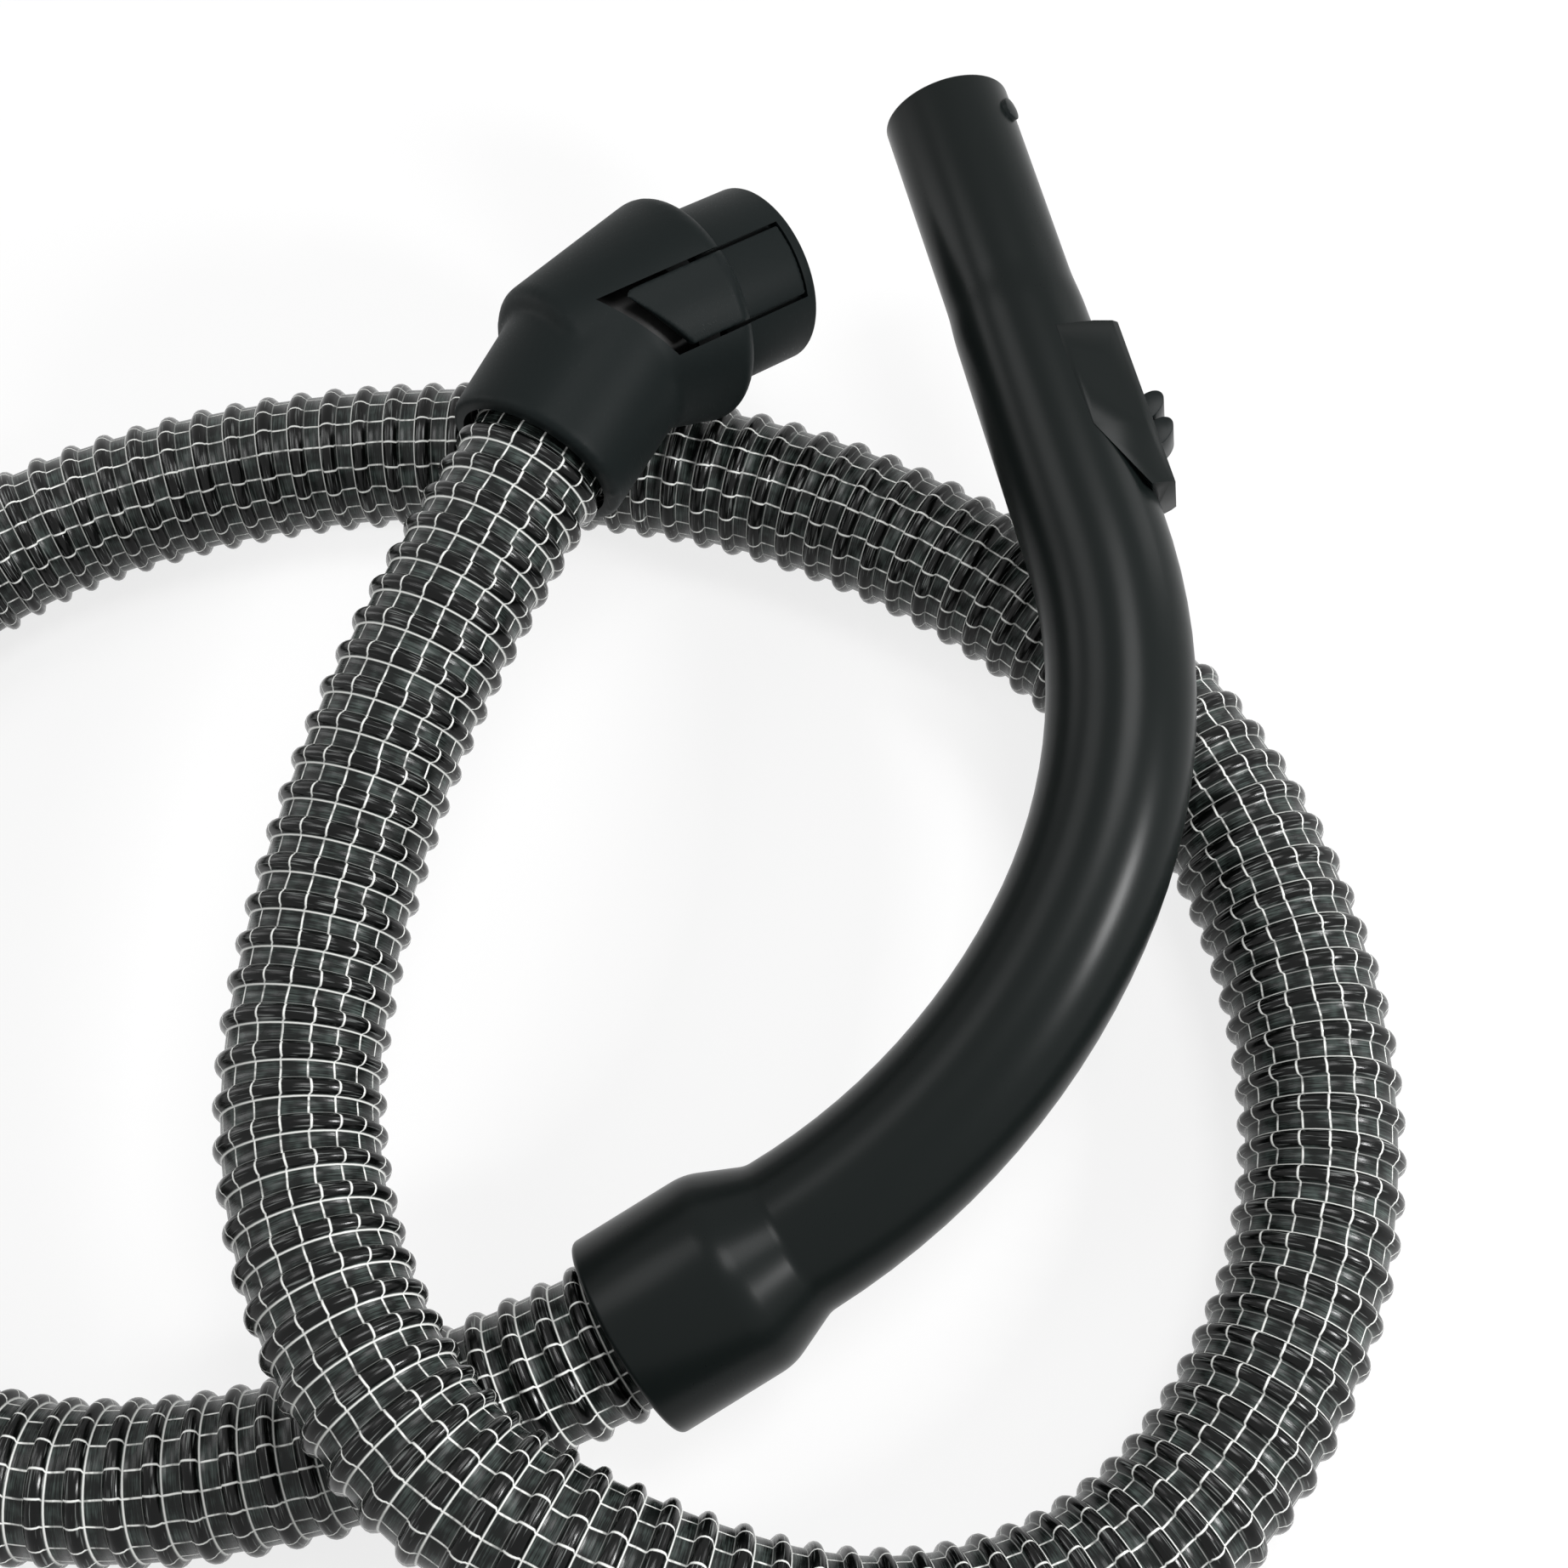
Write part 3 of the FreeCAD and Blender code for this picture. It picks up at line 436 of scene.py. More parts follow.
def hose_wall_group():
    """Masks of the hose wall, read from its UV map: ribs along U and yarns along V."""
    group, source, sink = node_group(
        "hose_wall",
        [("Yarn Width", 0.036), ("Ring Width", 0.018)],
        [(name, "NodeSocketFloat") for name in ("Yarn", "Rib", "Streak", "Skin", "Painted Highlight")])
    chart = add_node(group, "ShaderNodeUVMap", uv_map="wall").outputs[0]
    parts = add_node(group, "ShaderNodeSeparateXYZ", (("Vector", chart),))
    along, around = parts.outputs[0], parts.outputs[1]
    # Phase runs from 0 to 1 over one pitch, with the rib in its middle.
    phase = math_node(group, "FRACT", along)
    rib = line_mask(group, phase, 0.5, 0.22, 0.03)
    # The yarns wander from rib to rib and lean a little where they cross one.
    sway = stretched_noise(group, chart, (0.9, 0.33, 1.0), 1.0)
    wander = math_node(group, "MULTIPLY", math_node(group, "SUBTRACT", sway, 0.5), 0.22)
    lean = math_node(group, "MULTIPLY", rib, 0.07)
    turned = math_node(group, "ADD", math_node(group, "ADD", around, wander), lean)
    lane = math_node(group, "FRACT", turned)
    lengthwise = line_mask(group, lane, 0.5, source.outputs["Yarn Width"], 0.02)
    # Between the ribs the skin hides some stretches of a yarn.
    speckle = stretched_noise(group, chart, (5.0, 1.0, 1.0), 2.0)
    show = ramp(group, speckle, 0.34, 0.58, 0.35, 1.0).outputs[0]
    show = highest(group, show, math_node(group, "MULTIPLY", rib, 0.95))
    lengthwise = math_node(group, "MULTIPLY", lengthwise, show)
    # A yarn rings the hose on both sides of each rib, the far one fainter.
    near = line_mask(group, phase, 0.765, source.outputs["Ring Width"], 0.016)
    near = math_node(group, "MULTIPLY", near, 0.9)
    far = math_node(group, "MULTIPLY", line_mask(group, phase, 0.235, 0.008, 0.012), 0.3)
    yarn = highest(group, lengthwise, near, far)
    # Painted highlight: thin pale lines over the ribs, painted in place of lamp glints.
    painted_highlight = stretched_noise(group, chart, (21.0, 0.7, 1.0), 1.0,
                            shift=(("Location", (3.0, 7.0, 0.0)),))
    painted_highlight = math_node(group, "MULTIPLY", ramp(group, painted_highlight, 0.60, 0.72).outputs[0], rib)
    # Streaks and patches give the bands their own mottle, and mark where they take a painted
    # sheen.
    streak = stretched_noise(group, chart, (26.0, 0.9, 1.0), 3.0)
    patch = stretched_noise(group, chart, (1.1, 1.0, 1.0), 2.0, 1.3)
    for name, mask in (("Yarn", yarn), ("Rib", rib), ("Streak", streak), ("Skin", patch),
                       ("Painted Highlight", painted_highlight)):
        group.links.new(mask, sink.inputs[name])
    return group


def mix_colour(tree, factor, first, second):
    """A mix of two colours, which go into the node's sockets 6 and 7."""
    return add_node(tree, "ShaderNodeMix", ((0, factor), (6, first), (7, second)),
                    data_type="RGBA").outputs[2]


def opaque(colour, gain=1.0):
    """A colour with its alpha, made lighter by a gain."""
    return tuple(gain * part for part in colour) + (1.0,)


def hose_material(finishes):
    """The hose wall: dark bands under a clear skin with their own mottle and a painted sheen,
    black ribs with painted highlight lines, white yarns.
    """
    material, tree, shader = new_material("hose_wall")
    wall = add_node(tree, "ShaderNodeGroup",
                    node_tree=shared_group("hose_wall", hose_wall_group))
    # Painted sheen: pale streaky patches in the bands, partly the clear skin's own mottle and
    # partly painted in place of lamp light.
    mottle_and_painted_sheen = math_node(tree, "MULTIPLY", wall.outputs["Streak"], wall.outputs["Skin"])
    mottle_and_painted_sheen = ramp(tree, mottle_and_painted_sheen, 0.22, 0.50).outputs[0]
    colour = mix_colour(tree, mottle_and_painted_sheen, opaque(finishes.band_colour),
                        opaque(finishes.band_colour, MOTTLE_AND_SHEEN_GAIN))
    colour = mix_colour(tree, wall.outputs["Rib"], colour, opaque(finishes.rib_colour))
    # Mixes in the painted highlight lines over the ribs.
    colour = mix_colour(tree, wall.outputs["Painted Highlight"], colour, opaque(PAINTED_HIGHLIGHT_COLOUR))
    colour = mix_colour(tree, wall.outputs["Yarn"], colour, opaque(finishes.yarn_colour))
    rough = ramp(tree, wall.outputs["Streak"], 0.0, 1.0, 0.14, 0.36).outputs[0]
    rough = math_node(tree, "SUBTRACT", rough,
                      math_node(tree, "MULTIPLY", wall.outputs["Rib"], 0.08))
    height = math_node(tree, "ADD", math_node(tree, "MULTIPLY", wall.outputs["Yarn"], 0.8),
                       math_node(tree, "MULTIPLY", wall.outputs["Streak"], 0.5))
    bump = add_node(tree, "ShaderNodeBump", (
        ("Height", height), ("Strength", 0.5), ("Distance", 0.00022)))
    tree.links.new(colour, shader.inputs["Base Color"])
    tree.links.new(rough, shader.inputs["Roughness"])
    tree.links.new(bump.outputs[0], shader.inputs["Normal"])
    shader.inputs["Specular IOR Level"].default_value = 0.2
    return material


# Hose

# The hose lies on the floor, pressed flat by half a millimetre.
FLOOR_AXIS = 18.5 * MM
BELL_RUN = (BELL.translation.z - FLOOR_AXIS) / math.sin(math.radians(BELL_RISE))
HOSE_IN_ELBOW, HOSE_IN_BELL = 26.0 * MM, 25.0 * MM
HOSE_ROUTE = [
    MOUTH @ Vector((HOSE_IN_ELBOW, 0, 0)),
    MOUTH @ Vector((-0.042, 0, 0)),
    Vector((-0.1108, -0.0410, 0.0640)),
    Vector((-0.1185, -0.1070, 0.0585)),
    Vector((-0.0915, -0.1680, 0.0605)),
    Vector((-0.0455, -0.1960, 0.0530)),
    Vector((0.0125, -0.2110, 0.0390)),
    Vector((0.0685, -0.1910, 0.0260)),
    Vector((0.1065, -0.1360, FLOOR_AXIS)),
    Vector((0.1150, -0.0750, FLOOR_AXIS)),
    Vector((0.0975, -0.0090, FLOOR_AXIS)),
    Vector((0.0555, 0.0445, FLOOR_AXIS)),
    Vector((-0.0065, 0.0820, FLOOR_AXIS)),
    Vector((-0.0735, 0.0980, FLOOR_AXIS)),
    Vector((-0.1535, 0.0980, FLOOR_AXIS)),
    Vector((-0.2305, 0.0730, FLOOR_AXIS)),
    Vector((-0.2795, 0.0120, FLOOR_AXIS)),
    Vector((-0.2875, -0.0670, FLOOR_AXIS)),
    Vector((-0.2525, -0.1380, FLOOR_AXIS)),
    Vector((-0.1835, -0.1760, FLOOR_AXIS)),
    BELL @ Vector((-BELL_RUN, 0, 0)),
    BELL @ Vector((HOSE_IN_BELL, 0, 0)),
]
# Rib outline over one pitch: place along the pitch, and height from root to crown.
RIB_OUTLINE = (
    (0.23, 0.0), (0.29, 0.42), (0.36, 0.80), (0.45, 0.98), (0.55, 0.98),
    (0.64, 0.80), (0.71, 0.42), (0.77, 0.0),
)


def route_line():
    """The smooth line of the route, as points of its spline."""
    curve = bpy.data.curves.new("hose_line", "CURVE")
    curve.dimensions = "3D"
    curve.resolution_u = 32
    spline = curve.splines.new("NURBS")
    spline.points.add(len(HOSE_ROUTE) - 1)
    for point, place in zip(spline.points, HOSE_ROUTE):
        point.co = (*place, 1.0)
    spline.order_u = 3
    spline.use_endpoint_u = True
    holder = bpy.data.objects.new("hose_line", curve)
    line = bpy.data.meshes.new_from_object(holder)
    points = [vertex.co.copy() for vertex in line.vertices]
    bpy.data.meshes.remove(line)
    bpy.data.objects.remove(holder)
    bpy.data.curves.remove(curve)
    return points


class Walk:
    """Places and directions by distance along a line of points."""

    def __init__(self, points):
        self.points = points
        self.marks = [0.0]
        for before, after in zip(points, points[1:]):
            self.marks.append(self.marks[-1] + (after - before).length)
        self.length = self.marks[-1]
        self.at = 0

    def direction(self, index):
        first = self.points[max(index - 1, 0)]
        last = self.points[min(index + 1, len(self.points) - 1)]
        return (last - first).normalized()

    def place(self, distance):
        """The place and direction at a distance, called with growing distances."""
        while self.at < len(self.marks) - 2 and self.marks[self.at + 1] < distance:
            self.at += 1
        run = self.marks[self.at + 1] - self.marks[self.at]
        share = (distance - self.marks[self.at]) / run
        here = self.points[self.at].lerp(self.points[self.at + 1], share)
        way = self.direction(self.at).lerp(self.direction(self.at + 1), share)
        return here, way.normalized()


def hose_rings(line, sizes, stops):
    """Rings of points square to the line. Stops are (distance, radius) pairs."""
    walk = Walk(line)
    rings = []
    for distance, radius in stops:
        here, way = walk.place(distance)
        side = Vector((0, 0, 1)).cross(way).normalized()
        up = way.cross(side)
        ring = []
        for index in range(sizes.sides):
            angle = FULL_TURN * index / sizes.sides
            point = here + (side * math.cos(angle) + up * math.sin(angle)) * radius
            point.z = max(point.z, 0.0)
            ring.append(point)
        rings.append(ring)
    return rings


def hose_mesh(line, sizes):
    """The ribbed wall with its bore, and a UV map of ribs along and yarns around."""
    length = Walk(line).length
    ribs = int(length / sizes.pitch)
    pitch = length / ribs
    stops = [(0.0, sizes.root_r)]
    charts = [0.0]
    for rib in range(ribs):
        for share, height in RIB_OUTLINE:
            stops.append(((rib + share) * pitch,
                          sizes.root_r + height * (sizes.crown_r - sizes.root_r)))
            charts.append(rib + share)
    stops.append((length, sizes.root_r))
    charts.append(float(ribs))
    outer = hose_rings(line, sizes, stops)
    inner = hose_rings(line, sizes, [(rib * pitch, sizes.bore_r) for rib in range(ribs + 1)])
    inner.reverse()
    rings = outer + inner
    charts = charts + [float(rib) for rib in range(ribs, -1, -1)]
    count = sizes.sides
    vertices = [point for ring in rings for point in ring]
    faces = []
    for ring in range(len(rings)):
        after = (ring + 1) % len(rings)
        for side in range(count):
            turn = (side + 1) % count
            faces.append((ring * count + side, ring * count + turn,
                          after * count + turn, after * count + side))
    mesh = bpy.data.meshes.new("ribbed_hose")
    mesh.from_pydata(vertices, [], faces)
    chart = mesh.uv_layers.new(name="wall")
    corners = []
    for ring in range(len(rings)):
        after = (ring + 1) % len(rings)
        for side in range(count):
            left = sizes.yarns * side / count
            right = sizes.yarns * (side + 1) / count
            corners += [charts[ring], left, charts[ring], right,
                        charts[after], right, charts[after], left]
    chart.data.foreach_set("uv", corners)
    mesh.update()
    return mesh, length


class VACHOSE_OT_ribbed_hose(bpy.types.Operator):
    """Ribbed hose with its yarns, from the elbow round the loop to the grip"""
    bl_idname = "vacuum_hose.ribbed_hose"
    bl_label = "Ribbed Hose"

    def execute(self, context):
        sizes = context.scene.hose_sizes
        line = route_line()
        mesh, length = hose_mesh(line, sizes)
        hose = bpy.data.objects.new("ribbed_hose", mesh)
        context.collection.objects.link(hose)
        pick_only(hose)
        face_outward()
        bpy.ops.object.shade_smooth()
        finish_piece(hose, hose_material(context.scene.hose_finishes), "hose_with_cuffs",
                     ["hose"])
        return {"FINISHED"}


# Grip


BEND_STEPS = 14
BELL_RIM, TIP_ROUND, EDGE = 1.4 * MM, 0.8 * MM, 0.4 * MM
# The vent cover's nose is drawn in beyond this distance along the wand, to this share.
NOSE_X, NOSE_SHARE = 47.9 * MM, 0.15
# The slider's ridges are raised over its deck and lean toward the wand's tip.
DECK_HEIGHT, RIDGE_RISE, RIDGE_LEAN = 21.6 * MM, 0.4, 0.45
BUTTON_INSET, BUTTON_SHARE = 9.0 * MM, 0.5


def grip_rings(thinner):
    """Rings along the grip from its neck to the start of the wand end."""
    rings = []
    place = Vector((NECK_X, 0, 0))
    heading = 0.0
    for radius, degrees, start_r, end_r in BENDS:
        turn = math.radians(degrees)
        centre = place + Vector((-math.sin(heading), math.cos(heading), 0)) * radius
        for index in range(1, BEND_STEPS + 1):
            now = heading + turn * index / BEND_STEPS
            here = centre + Vector((math.sin(now), -math.cos(now), 0)) * radius
            size = start_r + (end_r - start_r) * index / BEND_STEPS - thinner
            stand = BELL @ Matrix.Translation(here) @ Matrix.Rotation(now, 4, "Z")
            rings.append(ring_place(stand, 0.0, size))
        heading += turn
        place = here
    return rings


def grip_tube():
    """The whole grip as one wall: outside from rim to tip, then back along the inside."""
    bell = softened([
        (BELL_RIM, BELL_R), (BELL_LENGTH, BELL_R), (NECK_X - 1.0 * MM, NECK_R),
        (NECK_X + 2.0 * MM, NECK_R),
    ], 1, 2, 3.2 * MM)[:-1]
    mouth_r = BELL_R - BELL_WALL
    outside = [(EDGE, mouth_r), (0.0, mouth_r + EDGE)]
    outside += corner(BELL_RIM, BELL_R - BELL_RIM, BELL_RIM, 180, 90)[:-1] + bell
    step_x = WAND_LENGTH - WAND_PLAIN
    upright = Matrix.Rotation(math.radians(-90), 4, "X")
    wand = softened([
        (0.0, BENDS[1][3]), (step_x - 5.5 * MM, WAND_SHOULDER_R + 0.1 * MM),
        (step_x + 1.2 * MM, WAND_R), (WAND_LENGTH - TIP_ROUND, WAND_R),
    ], 1, 2, 2.8 * MM)
    wand += corner(WAND_LENGTH - TIP_ROUND, WAND_R - TIP_ROUND, TIP_ROUND, 90, 0)[1:]
    bore = WAND_R - GRIP_WALL
    inner_wand = [(WAND_LENGTH - EDGE, bore), (step_x + 0.6 * MM, bore),
                  (step_x, bore + 0.45 * MM), (2.0 * MM, BENDS[1][3] - GRIP_WALL)]
    inner_bell = [(NECK_X, NECK_R - GRIP_WALL), (BELL_DEPTH, NECK_R - GRIP_WALL),
                  (BELL_DEPTH, mouth_r), (EDGE, mouth_r)]
    rings = outline_rings(BELL, outside) + grip_rings(0.0)[:-1]
    rings += outline_rings(WAND @ upright, wand + inner_wand)
    rings += grip_rings(GRIP_WALL)[-2::-1]
    rings += outline_rings(BELL, inner_bell)
    return ring_piece("grip_tube", rings, points=112, joined=True)


class VACHOSE_OT_hand_grip(bpy.types.Operator):
    """Bent hand grip with its bell, shoulder and wand end"""
    bl_idname = "vacuum_hose.hand_grip"
    bl_label = "Hand Grip"

    def execute(self, context):
        finishes = context.scene.hose_finishes
        tube = grip_tube()
        smooth(tube, 50.0)
        plastic = moulded("grip_satin", finishes.grip_colour, finishes.grip_roughness, 0.11,
                          scratches=0.02)
        finish_piece(tube, plastic, "grip", ["handle_tube"])
        cover = softened_copy("vent_cover", "vent_housing", 0.7 * MM)
        to_wand = WAND.inverted()
        for vertex in cover.data.vertices:
            place = to_wand @ vertex.co
            if place.x > NOSE_X:
                place.x = NOSE_X + (place.x - NOSE_X) * NOSE_SHARE
                vertex.co = WAND @ place
        finish_piece(cover, plastic, "grip", ["vent_cover"])
        return {"FINISHED"}


class VACHOSE_OT_regulator(bpy.types.Operator):
    """Sliding air regulator with its two ridges, and the snap button"""
    bl_idname = "vacuum_hose.regulator"
    bl_label = "Regulator and Button"

    def execute(self, context):
        finishes = context.scene.hose_finishes
        plastic = moulded("slider_satin", finishes.elbow_colour, 0.34, 0.12)
        slider = softened_copy("air_slider", "regulator_slider", 0.3 * MM)
        to_wand = WAND.inverted()
        for vertex in slider.data.vertices:
            place = to_wand @ vertex.co
            proud = place.z - DECK_HEIGHT
            if proud > 0:
                place.z += RIDGE_RISE * proud
                place.x += RIDGE_LEAN * proud
                vertex.co = WAND @ place
        finish_piece(slider, plastic, "regulator", ["air_slider"])
        button = softened_copy("wand_button", "snap_button", 0.25 * MM)
        out = Vector(JOINTS["button_press"]["axis"]).normalized() * -1.0
        skin = WAND_R + 0.1 * MM
        foot = WAND @ Vector((WAND_LENGTH - BUTTON_INSET, 0, 0))
        for vertex in button.data.vertices:
            proud = (vertex.co - foot).dot(out) - skin
            if proud > 0:
                vertex.co -= out * proud * BUTTON_SHARE
        finish_piece(button, plastic, "snap_button", ["wand_button"])
        return {"FINISHED"}


# Elbow

MOUTH_R, NECK_END_R, NECK_BORE_R = 23.0 * MM, 23.9 * MM, 21.9 * MM
HEEL_BACK, HEEL_R, BODY_FRONT, BODY_R = 22.1 * MM, 20.8 * MM, 19.0 * MM, 28.9 * MM
SHOULDER_END, ELBOW_WALL, HOSE_HOLE_R = 24.0 * MM, 2.2 * MM, 19.4 * MM
SPIGOT_START, SPIGOT_END, SPIGOT_BORE_R = 20.0 * MM, 46.9 * MM, 17.0 * MM
SPIGOT_R = frame["record"]["mounts"][1]["dims"]["r_mm"] * MM
LATCH_HALF, LATCH_GAP, LATCH_ROOT, LATCH_SKEW = 9.9 * MM, 1.0 * MM, 44.0 * MM, 0.66
# A pressed latch turns by this angle about its root and clears the duct under it.
LATCH_PRESS, LATCH_PIVOT, DUCT_ROOM_R = math.radians(5), 18.0 * MM, 19.1 * MM
FINGER_ROOM = -4.9 * MM


def neck_solid():
    """The elbow's neck from its round lip to the bend."""
    bend = 1.8 * MM
    outline = corner(bend, MOUTH_R - bend, bend, 180, 90)
    outline += [(NECK_LENGTH, NECK_END_R), (NECK_LENGTH + 4.0 * MM, NECK_END_R - 3.0 * MM)]
    return ring_piece("neck", outline_rings(MOUTH, outline))


def body_solid(thinner, nose=None):
    """The elbow's body, or body and spigot in one form as far as the nose."""
    bend = 4.0 * MM
    heel = HEEL_R - thinner
    back = thinner - HEEL_BACK
    outline = corner(back + bend, heel - bend, bend, 180, 90)
    outline.append((BODY_FRONT, BODY_R - thinner))
    drop = BODY_R - SPIGOT_R
    reach = SHOULDER_END - BODY_FRONT - thinner
    steps = 8
    for index in range(1, steps + 1):
        angle = math.radians(90) * index / steps
        outline.append((BODY_FRONT + reach * math.sin(angle),
                        SPIGOT_R - thinner + drop * math.cos(angle)))
    if nose:
        outline.append((nose, SPIGOT_R - thinner))
    return ring_piece("elbow_body", outline_rings(BEND, outline))


def latch_strip(side, half, end, low, rise=0.0):
    """Prism over a latch, seen from its own side, with its slanted pad end.

    Its underside lies at the height low at the root and is higher by rise at the pad."""
    skew = LATCH_SKEW * half
    high = 60.0 * MM
    bpy.ops.object.select_all(action="DESELECT")
    bpy.ops.mesh.primitive_cube_add(size=2.0)
    cutter = bpy.context.object
    for vertex in cutter.data.vertices:
        x, y, z = vertex.co
        along = LATCH_ROOT if x > 0 else end - skew * y
        under = low if x > 0 else low + rise
        vertex.co = BEND @ Vector((along, half * y, (high if z > 0 else under) * side))
    if side < 0:
        face_outward()
    return cutter


def latch_tongue(name, side):
    """A latch cut from the skin of body and spigot, with soft edges."""
    tongue = body_solid(0.0, LATCH_ROOT - 0.45 * MM)
    cut_with(tongue, latch_strip(side, LATCH_HALF - LATCH_GAP, 0.1 * MM, 17.8 * MM,
                                 4.4 * MM), "INTERSECT")
    cut_with(tongue, body_solid(ELBOW_WALL, LATCH_ROOT + 1.0 * MM))
    hinge = Matrix.Translation((LATCH_ROOT, 0, LATCH_PIVOT * side))
    pressed = hinge @ Matrix.Rotation(LATCH_PRESS * side, 4, "Y") @ hinge.inverted()
    cut_with(tongue, rod("duct_room", BEND @ pressed, -20.0 * MM, 60.0 * MM, DUCT_ROOM_R))
    apply_modifier(tongue, "REMESH", mode="VOXEL", voxel_size=0.0004)
    apply_modifier(tongue, "SMOOTH", factor=0.5, iterations=5)
    smooth(tongue, 60.0)
    tongue.name = name
    return tongue


def spigot_piece():
    """The round spigot, open where the latches lie in it."""
    bend = 1.0 * MM
    outline = [(SPIGOT_START, SPIGOT_R)]
    outline += corner(SPIGOT_END - bend, SPIGOT_R - bend, bend, 90, 0)
    outline += [(SPIGOT_END, SPIGOT_BORE_R + EDGE),
                (SPIGOT_END - EDGE, SPIGOT_BORE_R), (SPIGOT_START, SPIGOT_BORE_R),
                (SPIGOT_START, SPIGOT_R)]
    spigot = ring_piece("cleaner_spigot", outline_rings(BEND, outline), joined=True)
    for side in (1, -1):
        cut_with(spigot, latch_strip(side, LATCH_HALF, FINGER_ROOM, 17.5 * MM))
    smooth(spigot, 35.0)
    return spigot


class VACHOSE_OT_elbow(bpy.types.Operator):
    """Bent elbow with its latches and the spigot for the cleaner"""
    bl_idname = "vacuum_hose.elbow"
    bl_label = "Snap-in Elbow"

    def execute(self, context):
        finishes = context.scene.hose_finishes
        plastic = moulded("elbow_matte", finishes.elbow_colour, finishes.elbow_roughness,
                          0.08, scratches=0.25)
        shell = body_solid(0.0)
        cut_with(shell, neck_solid(), "UNION")
        apply_modifier(shell, "REMESH", mode="VOXEL", voxel_size=0.0009)
        apply_modifier(shell, "SMOOTH", factor=0.5, iterations=10)
        shell.name = "elbow_housing"
        cut_with(shell, body_solid(ELBOW_WALL))
        for name, place, start, end, radius in (
                ("bore", MOUTH, 3.0 * MM, NECK_LENGTH, NECK_BORE_R),
                ("hose_hole", MOUTH, -2.0 * MM, 4.0 * MM, HOSE_HOLE_R),
                ("front", BEND, 19.6 * MM, 40.0 * MM, SPIGOT_R + 0.1 * MM)):
            cut_with(shell, rod(name, place, start, end, radius))
        for side in (1, -1):
            cut_with(shell, latch_strip(side, LATCH_HALF, FINGER_ROOM, 12.0 * MM))
        smooth(shell, 40.0)
        finish_piece(shell, plastic, "elbow", ["elbow_shell"])
        finish_piece(spigot_piece(), plastic, "elbow", ["machine_spigot"])
        for node, side, body in (("latch_front", 1, "front_latch"),
                                 ("latch_back", -1, "back_latch")):
            latch = latch_tongue("snap_" + node, side)
            finish_piece(latch, plastic, body, [node])
        return {"FINISHED"}


class VACHOSE_OT_inner_pieces(bpy.types.Operator):
    """Finishes of the pieces inside the grip and the elbow"""
    bl_idname = "vacuum_hose.inner_pieces"
    bl_label = "Inner Pieces"

    def execute(self, context):
        finishes = (
            (moulded("cuff_dull", (0.012, 0.012, 0.012), 0.5, 0.3),
             ("handle_cuff", "elbow_cuff", "inner_duct")),
            (moulded("snap_ring_natural", (0.55, 0.55, 0.52), 0.35, 0.5),
             ("handle_snap_ring", "elbow_snap_ring")),
            (moulded("seal_dull", (0.015, 0.015, 0.015), 0.75, 0.3),
             ("handle_seal", "elbow_seal")),
            (moulded("foam_open", (0.04, 0.04, 0.04), 0.95, 0.1, 900.0, 0.5),
             ("slider_pad",)),
            (brushed_steel(), ("slider_spring", "button_clip")),
        )
        for material, nodes in finishes:
            for node in nodes:
                frame["nodes"][node].data.materials.clear()
                frame["nodes"][node].data.materials.append(material)
        return {"FINISHED"}


# Stage

LIT_MIDDLE = (-0.05, 0.0, 0.03)
# Each lamp has its name, place, width and height in metres, and power in watts.
LAMPS = (
    ("key_light", (0.42, 0.18, 1.35), (0.5, 0.5), 8.0),
    ("side_light", (1.0, -0.32, 0.66), (0.2, 0.2), 12.0),
    ("fill_light", (-0.75, 0.25, 1.1), (0.5, 0.5), 3.0),
    ("edge_light_left", (-1.2, 0.35, 0.25), (0.3, 0.8), 2.5),
    ("edge_light_right", (1.1, 0.7, 0.45), (0.3, 0.6), 1.8),
)
FLOOR_WHITE_SHARE, WORLD_WHITE_SHARE, WORLD_STRENGTH = 0.8, 1.0, 0.34
# The camera's place and axes, and its focal length against the picture's side.
CAMERA_PLACE = (0.0314, -0.2558, 0.5740)
CAMERA_RIGHT = Vector((0.99702, 0.0, -0.07714))
CAMERA_DOWN = Vector((-0.03195, -0.91021, -0.41291))
CAMERA_AHEAD = Vector((-0.07021, 0.41415, -0.90750))
SENSOR, FOCAL_PIXELS, PICTURE_PIXELS = 36.0, 2900, 1844


def area_light(name, place, size, power):
    """A rectangular lamp that points at the middle of the object."""
    data = bpy.data.lights.new(name, "AREA")
    data.shape = "RECTANGLE"
    data.size, data.size_y = size
    data.energy = power
    light = bpy.data.objects.new(name, data)
    light.location = place
    aim = Vector(LIT_MIDDLE) - Vector(place)
    light.rotation_euler = aim.to_track_quat("-Z", "Y").to_euler()
    bpy.context.collection.objects.link(light)


def white_for_camera(tree, plain, white, share):
    """Mixes in a share of plain white for camera, glossy and transmission rays."""
    path = add_node(tree, "ShaderNodeLightPath")
    seen = highest(tree, path.outputs["Is Camera Ray"], path.outputs["Is Glossy Ray"],
                   path.outputs["Is Transmission Ray"])
    seen = math_node(tree, "MULTIPLY", seen, share)
    return add_node(tree, "ShaderNodeMixShader", ((0, seen), (1, plain), (2, white)))


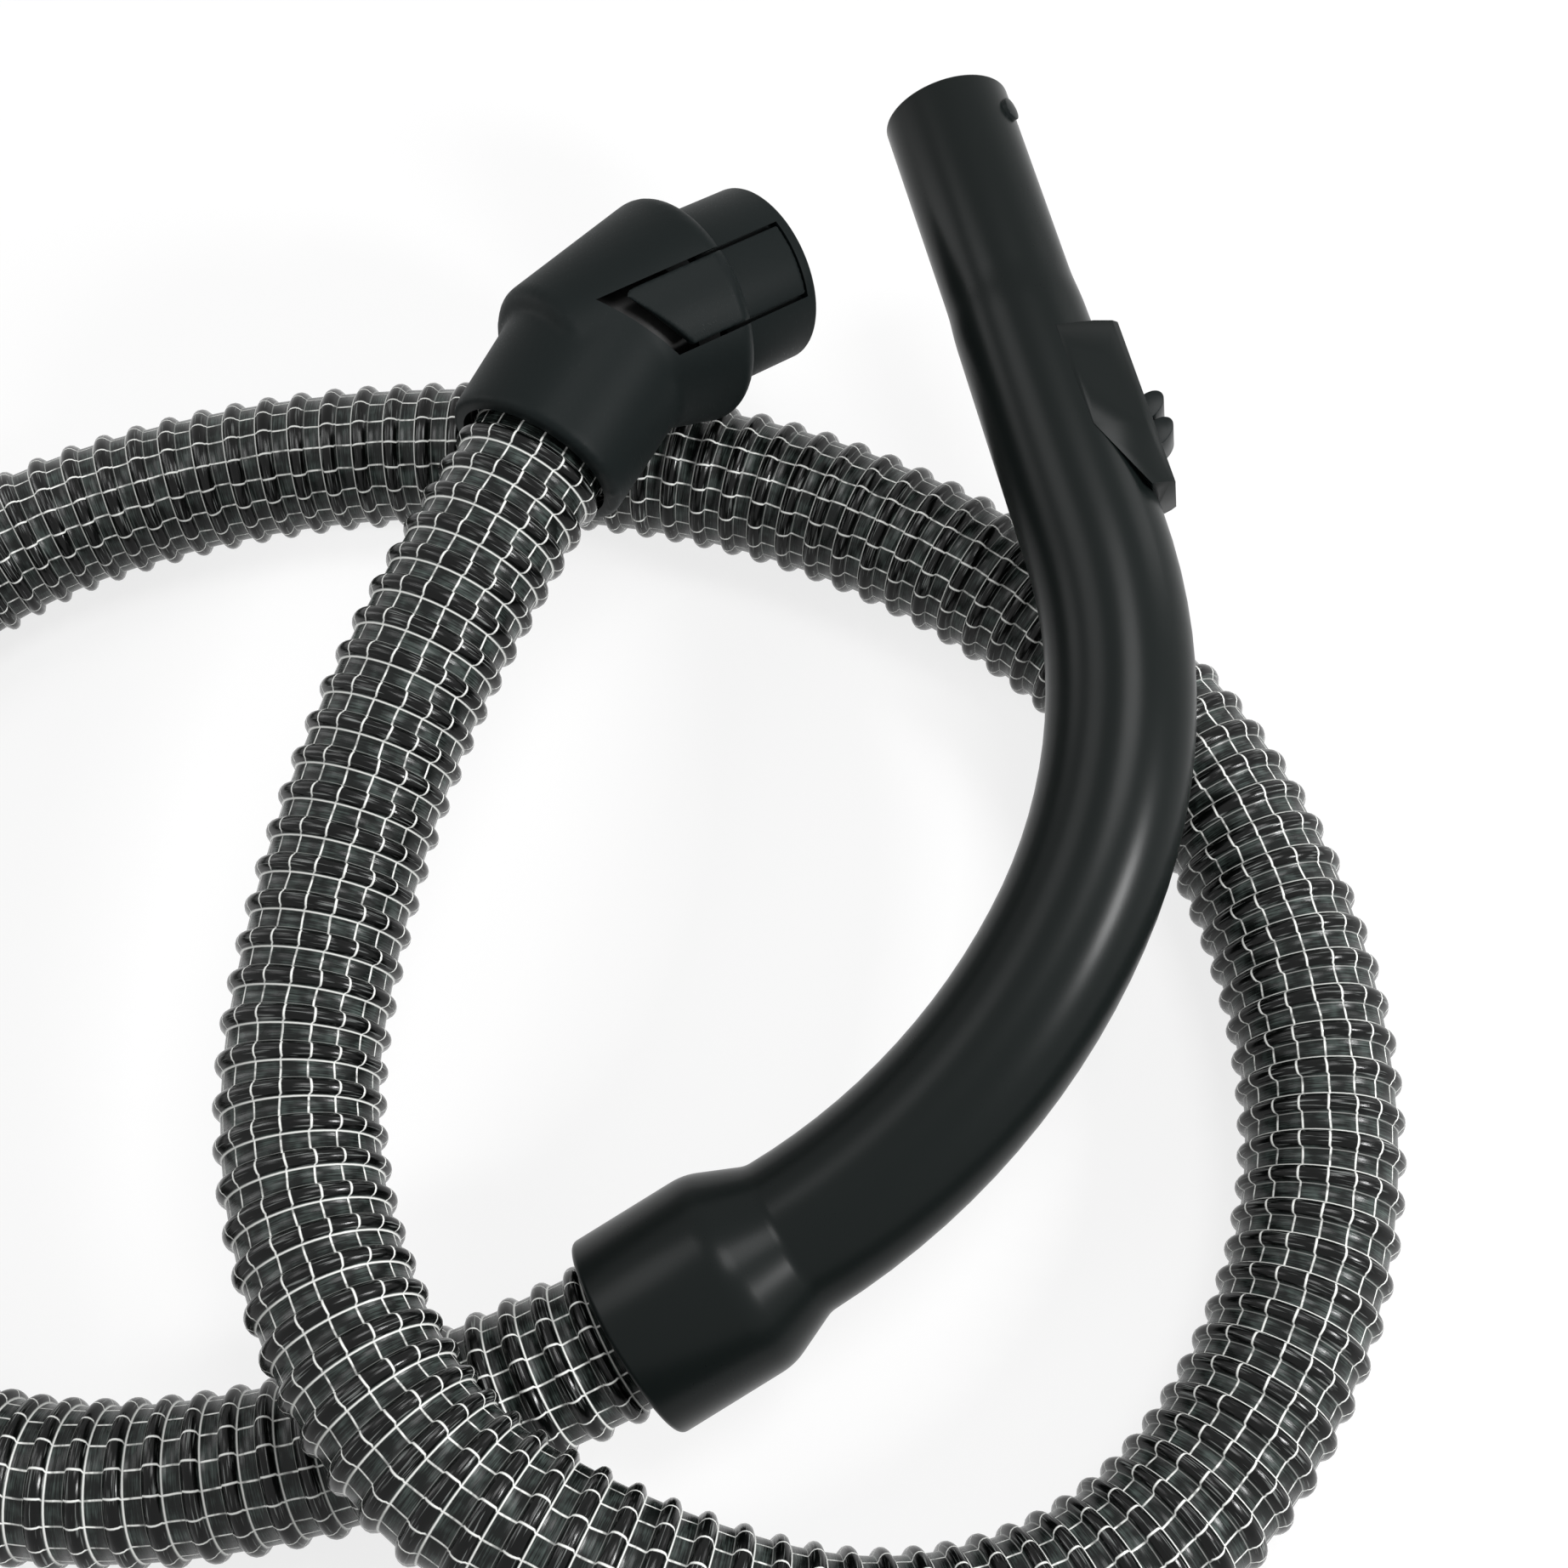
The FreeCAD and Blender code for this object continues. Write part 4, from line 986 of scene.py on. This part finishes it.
class VACHOSE_OT_stage(bpy.types.Operator):
    """Pale floor, soft studio light and the camera"""
    bl_idname = "vacuum_hose.stage"
    bl_label = "Stage"

    def execute(self, context):
        scene = context.scene
        scene.view_settings.view_transform = "Standard"
        bpy.ops.object.select_all(action="DESELECT")
        bpy.ops.mesh.primitive_plane_add(size=12.0, location=(0, 0, -0.0003))
        floor = context.object
        floor.name = "floor"
        material, tree, shader = new_material("floor_white")
        shader.inputs["Base Color"].default_value = (0.93, 0.93, 0.93, 1.0)
        shader.inputs["Roughness"].default_value = 0.9
        shader.inputs["Specular IOR Level"].default_value = 0.0
        white = add_node(tree, "ShaderNodeEmission", (("Strength", 1.0),))
        mixed = white_for_camera(tree, shader.outputs[0], white.outputs[0],
                                 FLOOR_WHITE_SHARE)
        tree.links.new(mixed.outputs[0], tree.nodes["Material Output"].inputs["Surface"])
        floor.data.materials.append(material)
        world = bpy.data.worlds.new("studio")
        scene.world = world
        world.use_nodes = True
        tree = world.node_tree
        plain = add_node(tree, "ShaderNodeBackground", (
            ("Color", (1.0, 1.0, 1.0, 1.0)), ("Strength", WORLD_STRENGTH)))
        white = add_node(tree, "ShaderNodeBackground", (
            ("Color", (1.0, 1.0, 1.0, 1.0)), ("Strength", 1.0)))
        mixed = white_for_camera(tree, plain.outputs[0], white.outputs[0],
                                 WORLD_WHITE_SHARE)
        tree.links.new(mixed.outputs[0], tree.nodes["World Output"].inputs["Surface"])
        for name, place, size, power in LAMPS:
            area_light(name, place, size, power)
        data = bpy.data.cameras.new("camera")
        data.sensor_width = SENSOR
        data.lens = SENSOR * FOCAL_PIXELS / PICTURE_PIXELS
        data.clip_start = 0.01
        camera = bpy.data.objects.new("camera", data)
        axes = Matrix((CAMERA_RIGHT, -CAMERA_DOWN, -CAMERA_AHEAD)).transposed()
        camera.matrix_world = Matrix.Translation(CAMERA_PLACE) @ axes.to_4x4()
        context.collection.objects.link(camera)
        scene.camera = camera
        return {"FINISHED"}


class VACHOSE_PT_panel(bpy.types.Panel):
    """Lists the hose's pieces in the sidebar"""
    bl_idname = "VACHOSE_PT_panel"
    bl_label = "Vacuum Cleaner Hose"
    bl_space_type = "VIEW_3D"
    bl_region_type = "UI"
    bl_category = "Hose"

    def draw(self, context):
        for group in (context.scene.hose_sizes, context.scene.hose_finishes):
            for name in group.bl_rna.properties.keys():
                if name not in ("rna_type", "name"):
                    self.layout.prop(group, name)
        for operator in OPERATORS:
            self.layout.operator(operator.bl_idname)


OPERATORS = (VACHOSE_OT_stage, VACHOSE_OT_ribbed_hose, VACHOSE_OT_hand_grip,
             VACHOSE_OT_regulator, VACHOSE_OT_elbow, VACHOSE_OT_inner_pieces)
CLASSES = (HoseSizes, Finishes) + OPERATORS + (VACHOSE_PT_panel,)


def register():
    for cls in CLASSES:
        bpy.utils.register_class(cls)
    bpy.types.Scene.hose_sizes = bpy.props.PointerProperty(type=HoseSizes)
    bpy.types.Scene.hose_finishes = bpy.props.PointerProperty(type=Finishes)


def unregister():
    del bpy.types.Scene.hose_finishes
    del bpy.types.Scene.hose_sizes
    for cls in reversed(CLASSES):
        bpy.utils.unregister_class(cls)


def main():
    register()
    bpy.ops.vacuum_hose.stage()
    bpy.ops.vacuum_hose.ribbed_hose()
    bpy.ops.vacuum_hose.hand_grip()
    bpy.ops.vacuum_hose.regulator()
    bpy.ops.vacuum_hose.elbow()
    bpy.ops.vacuum_hose.inner_pieces()


if __name__ == "__main__":
    main()
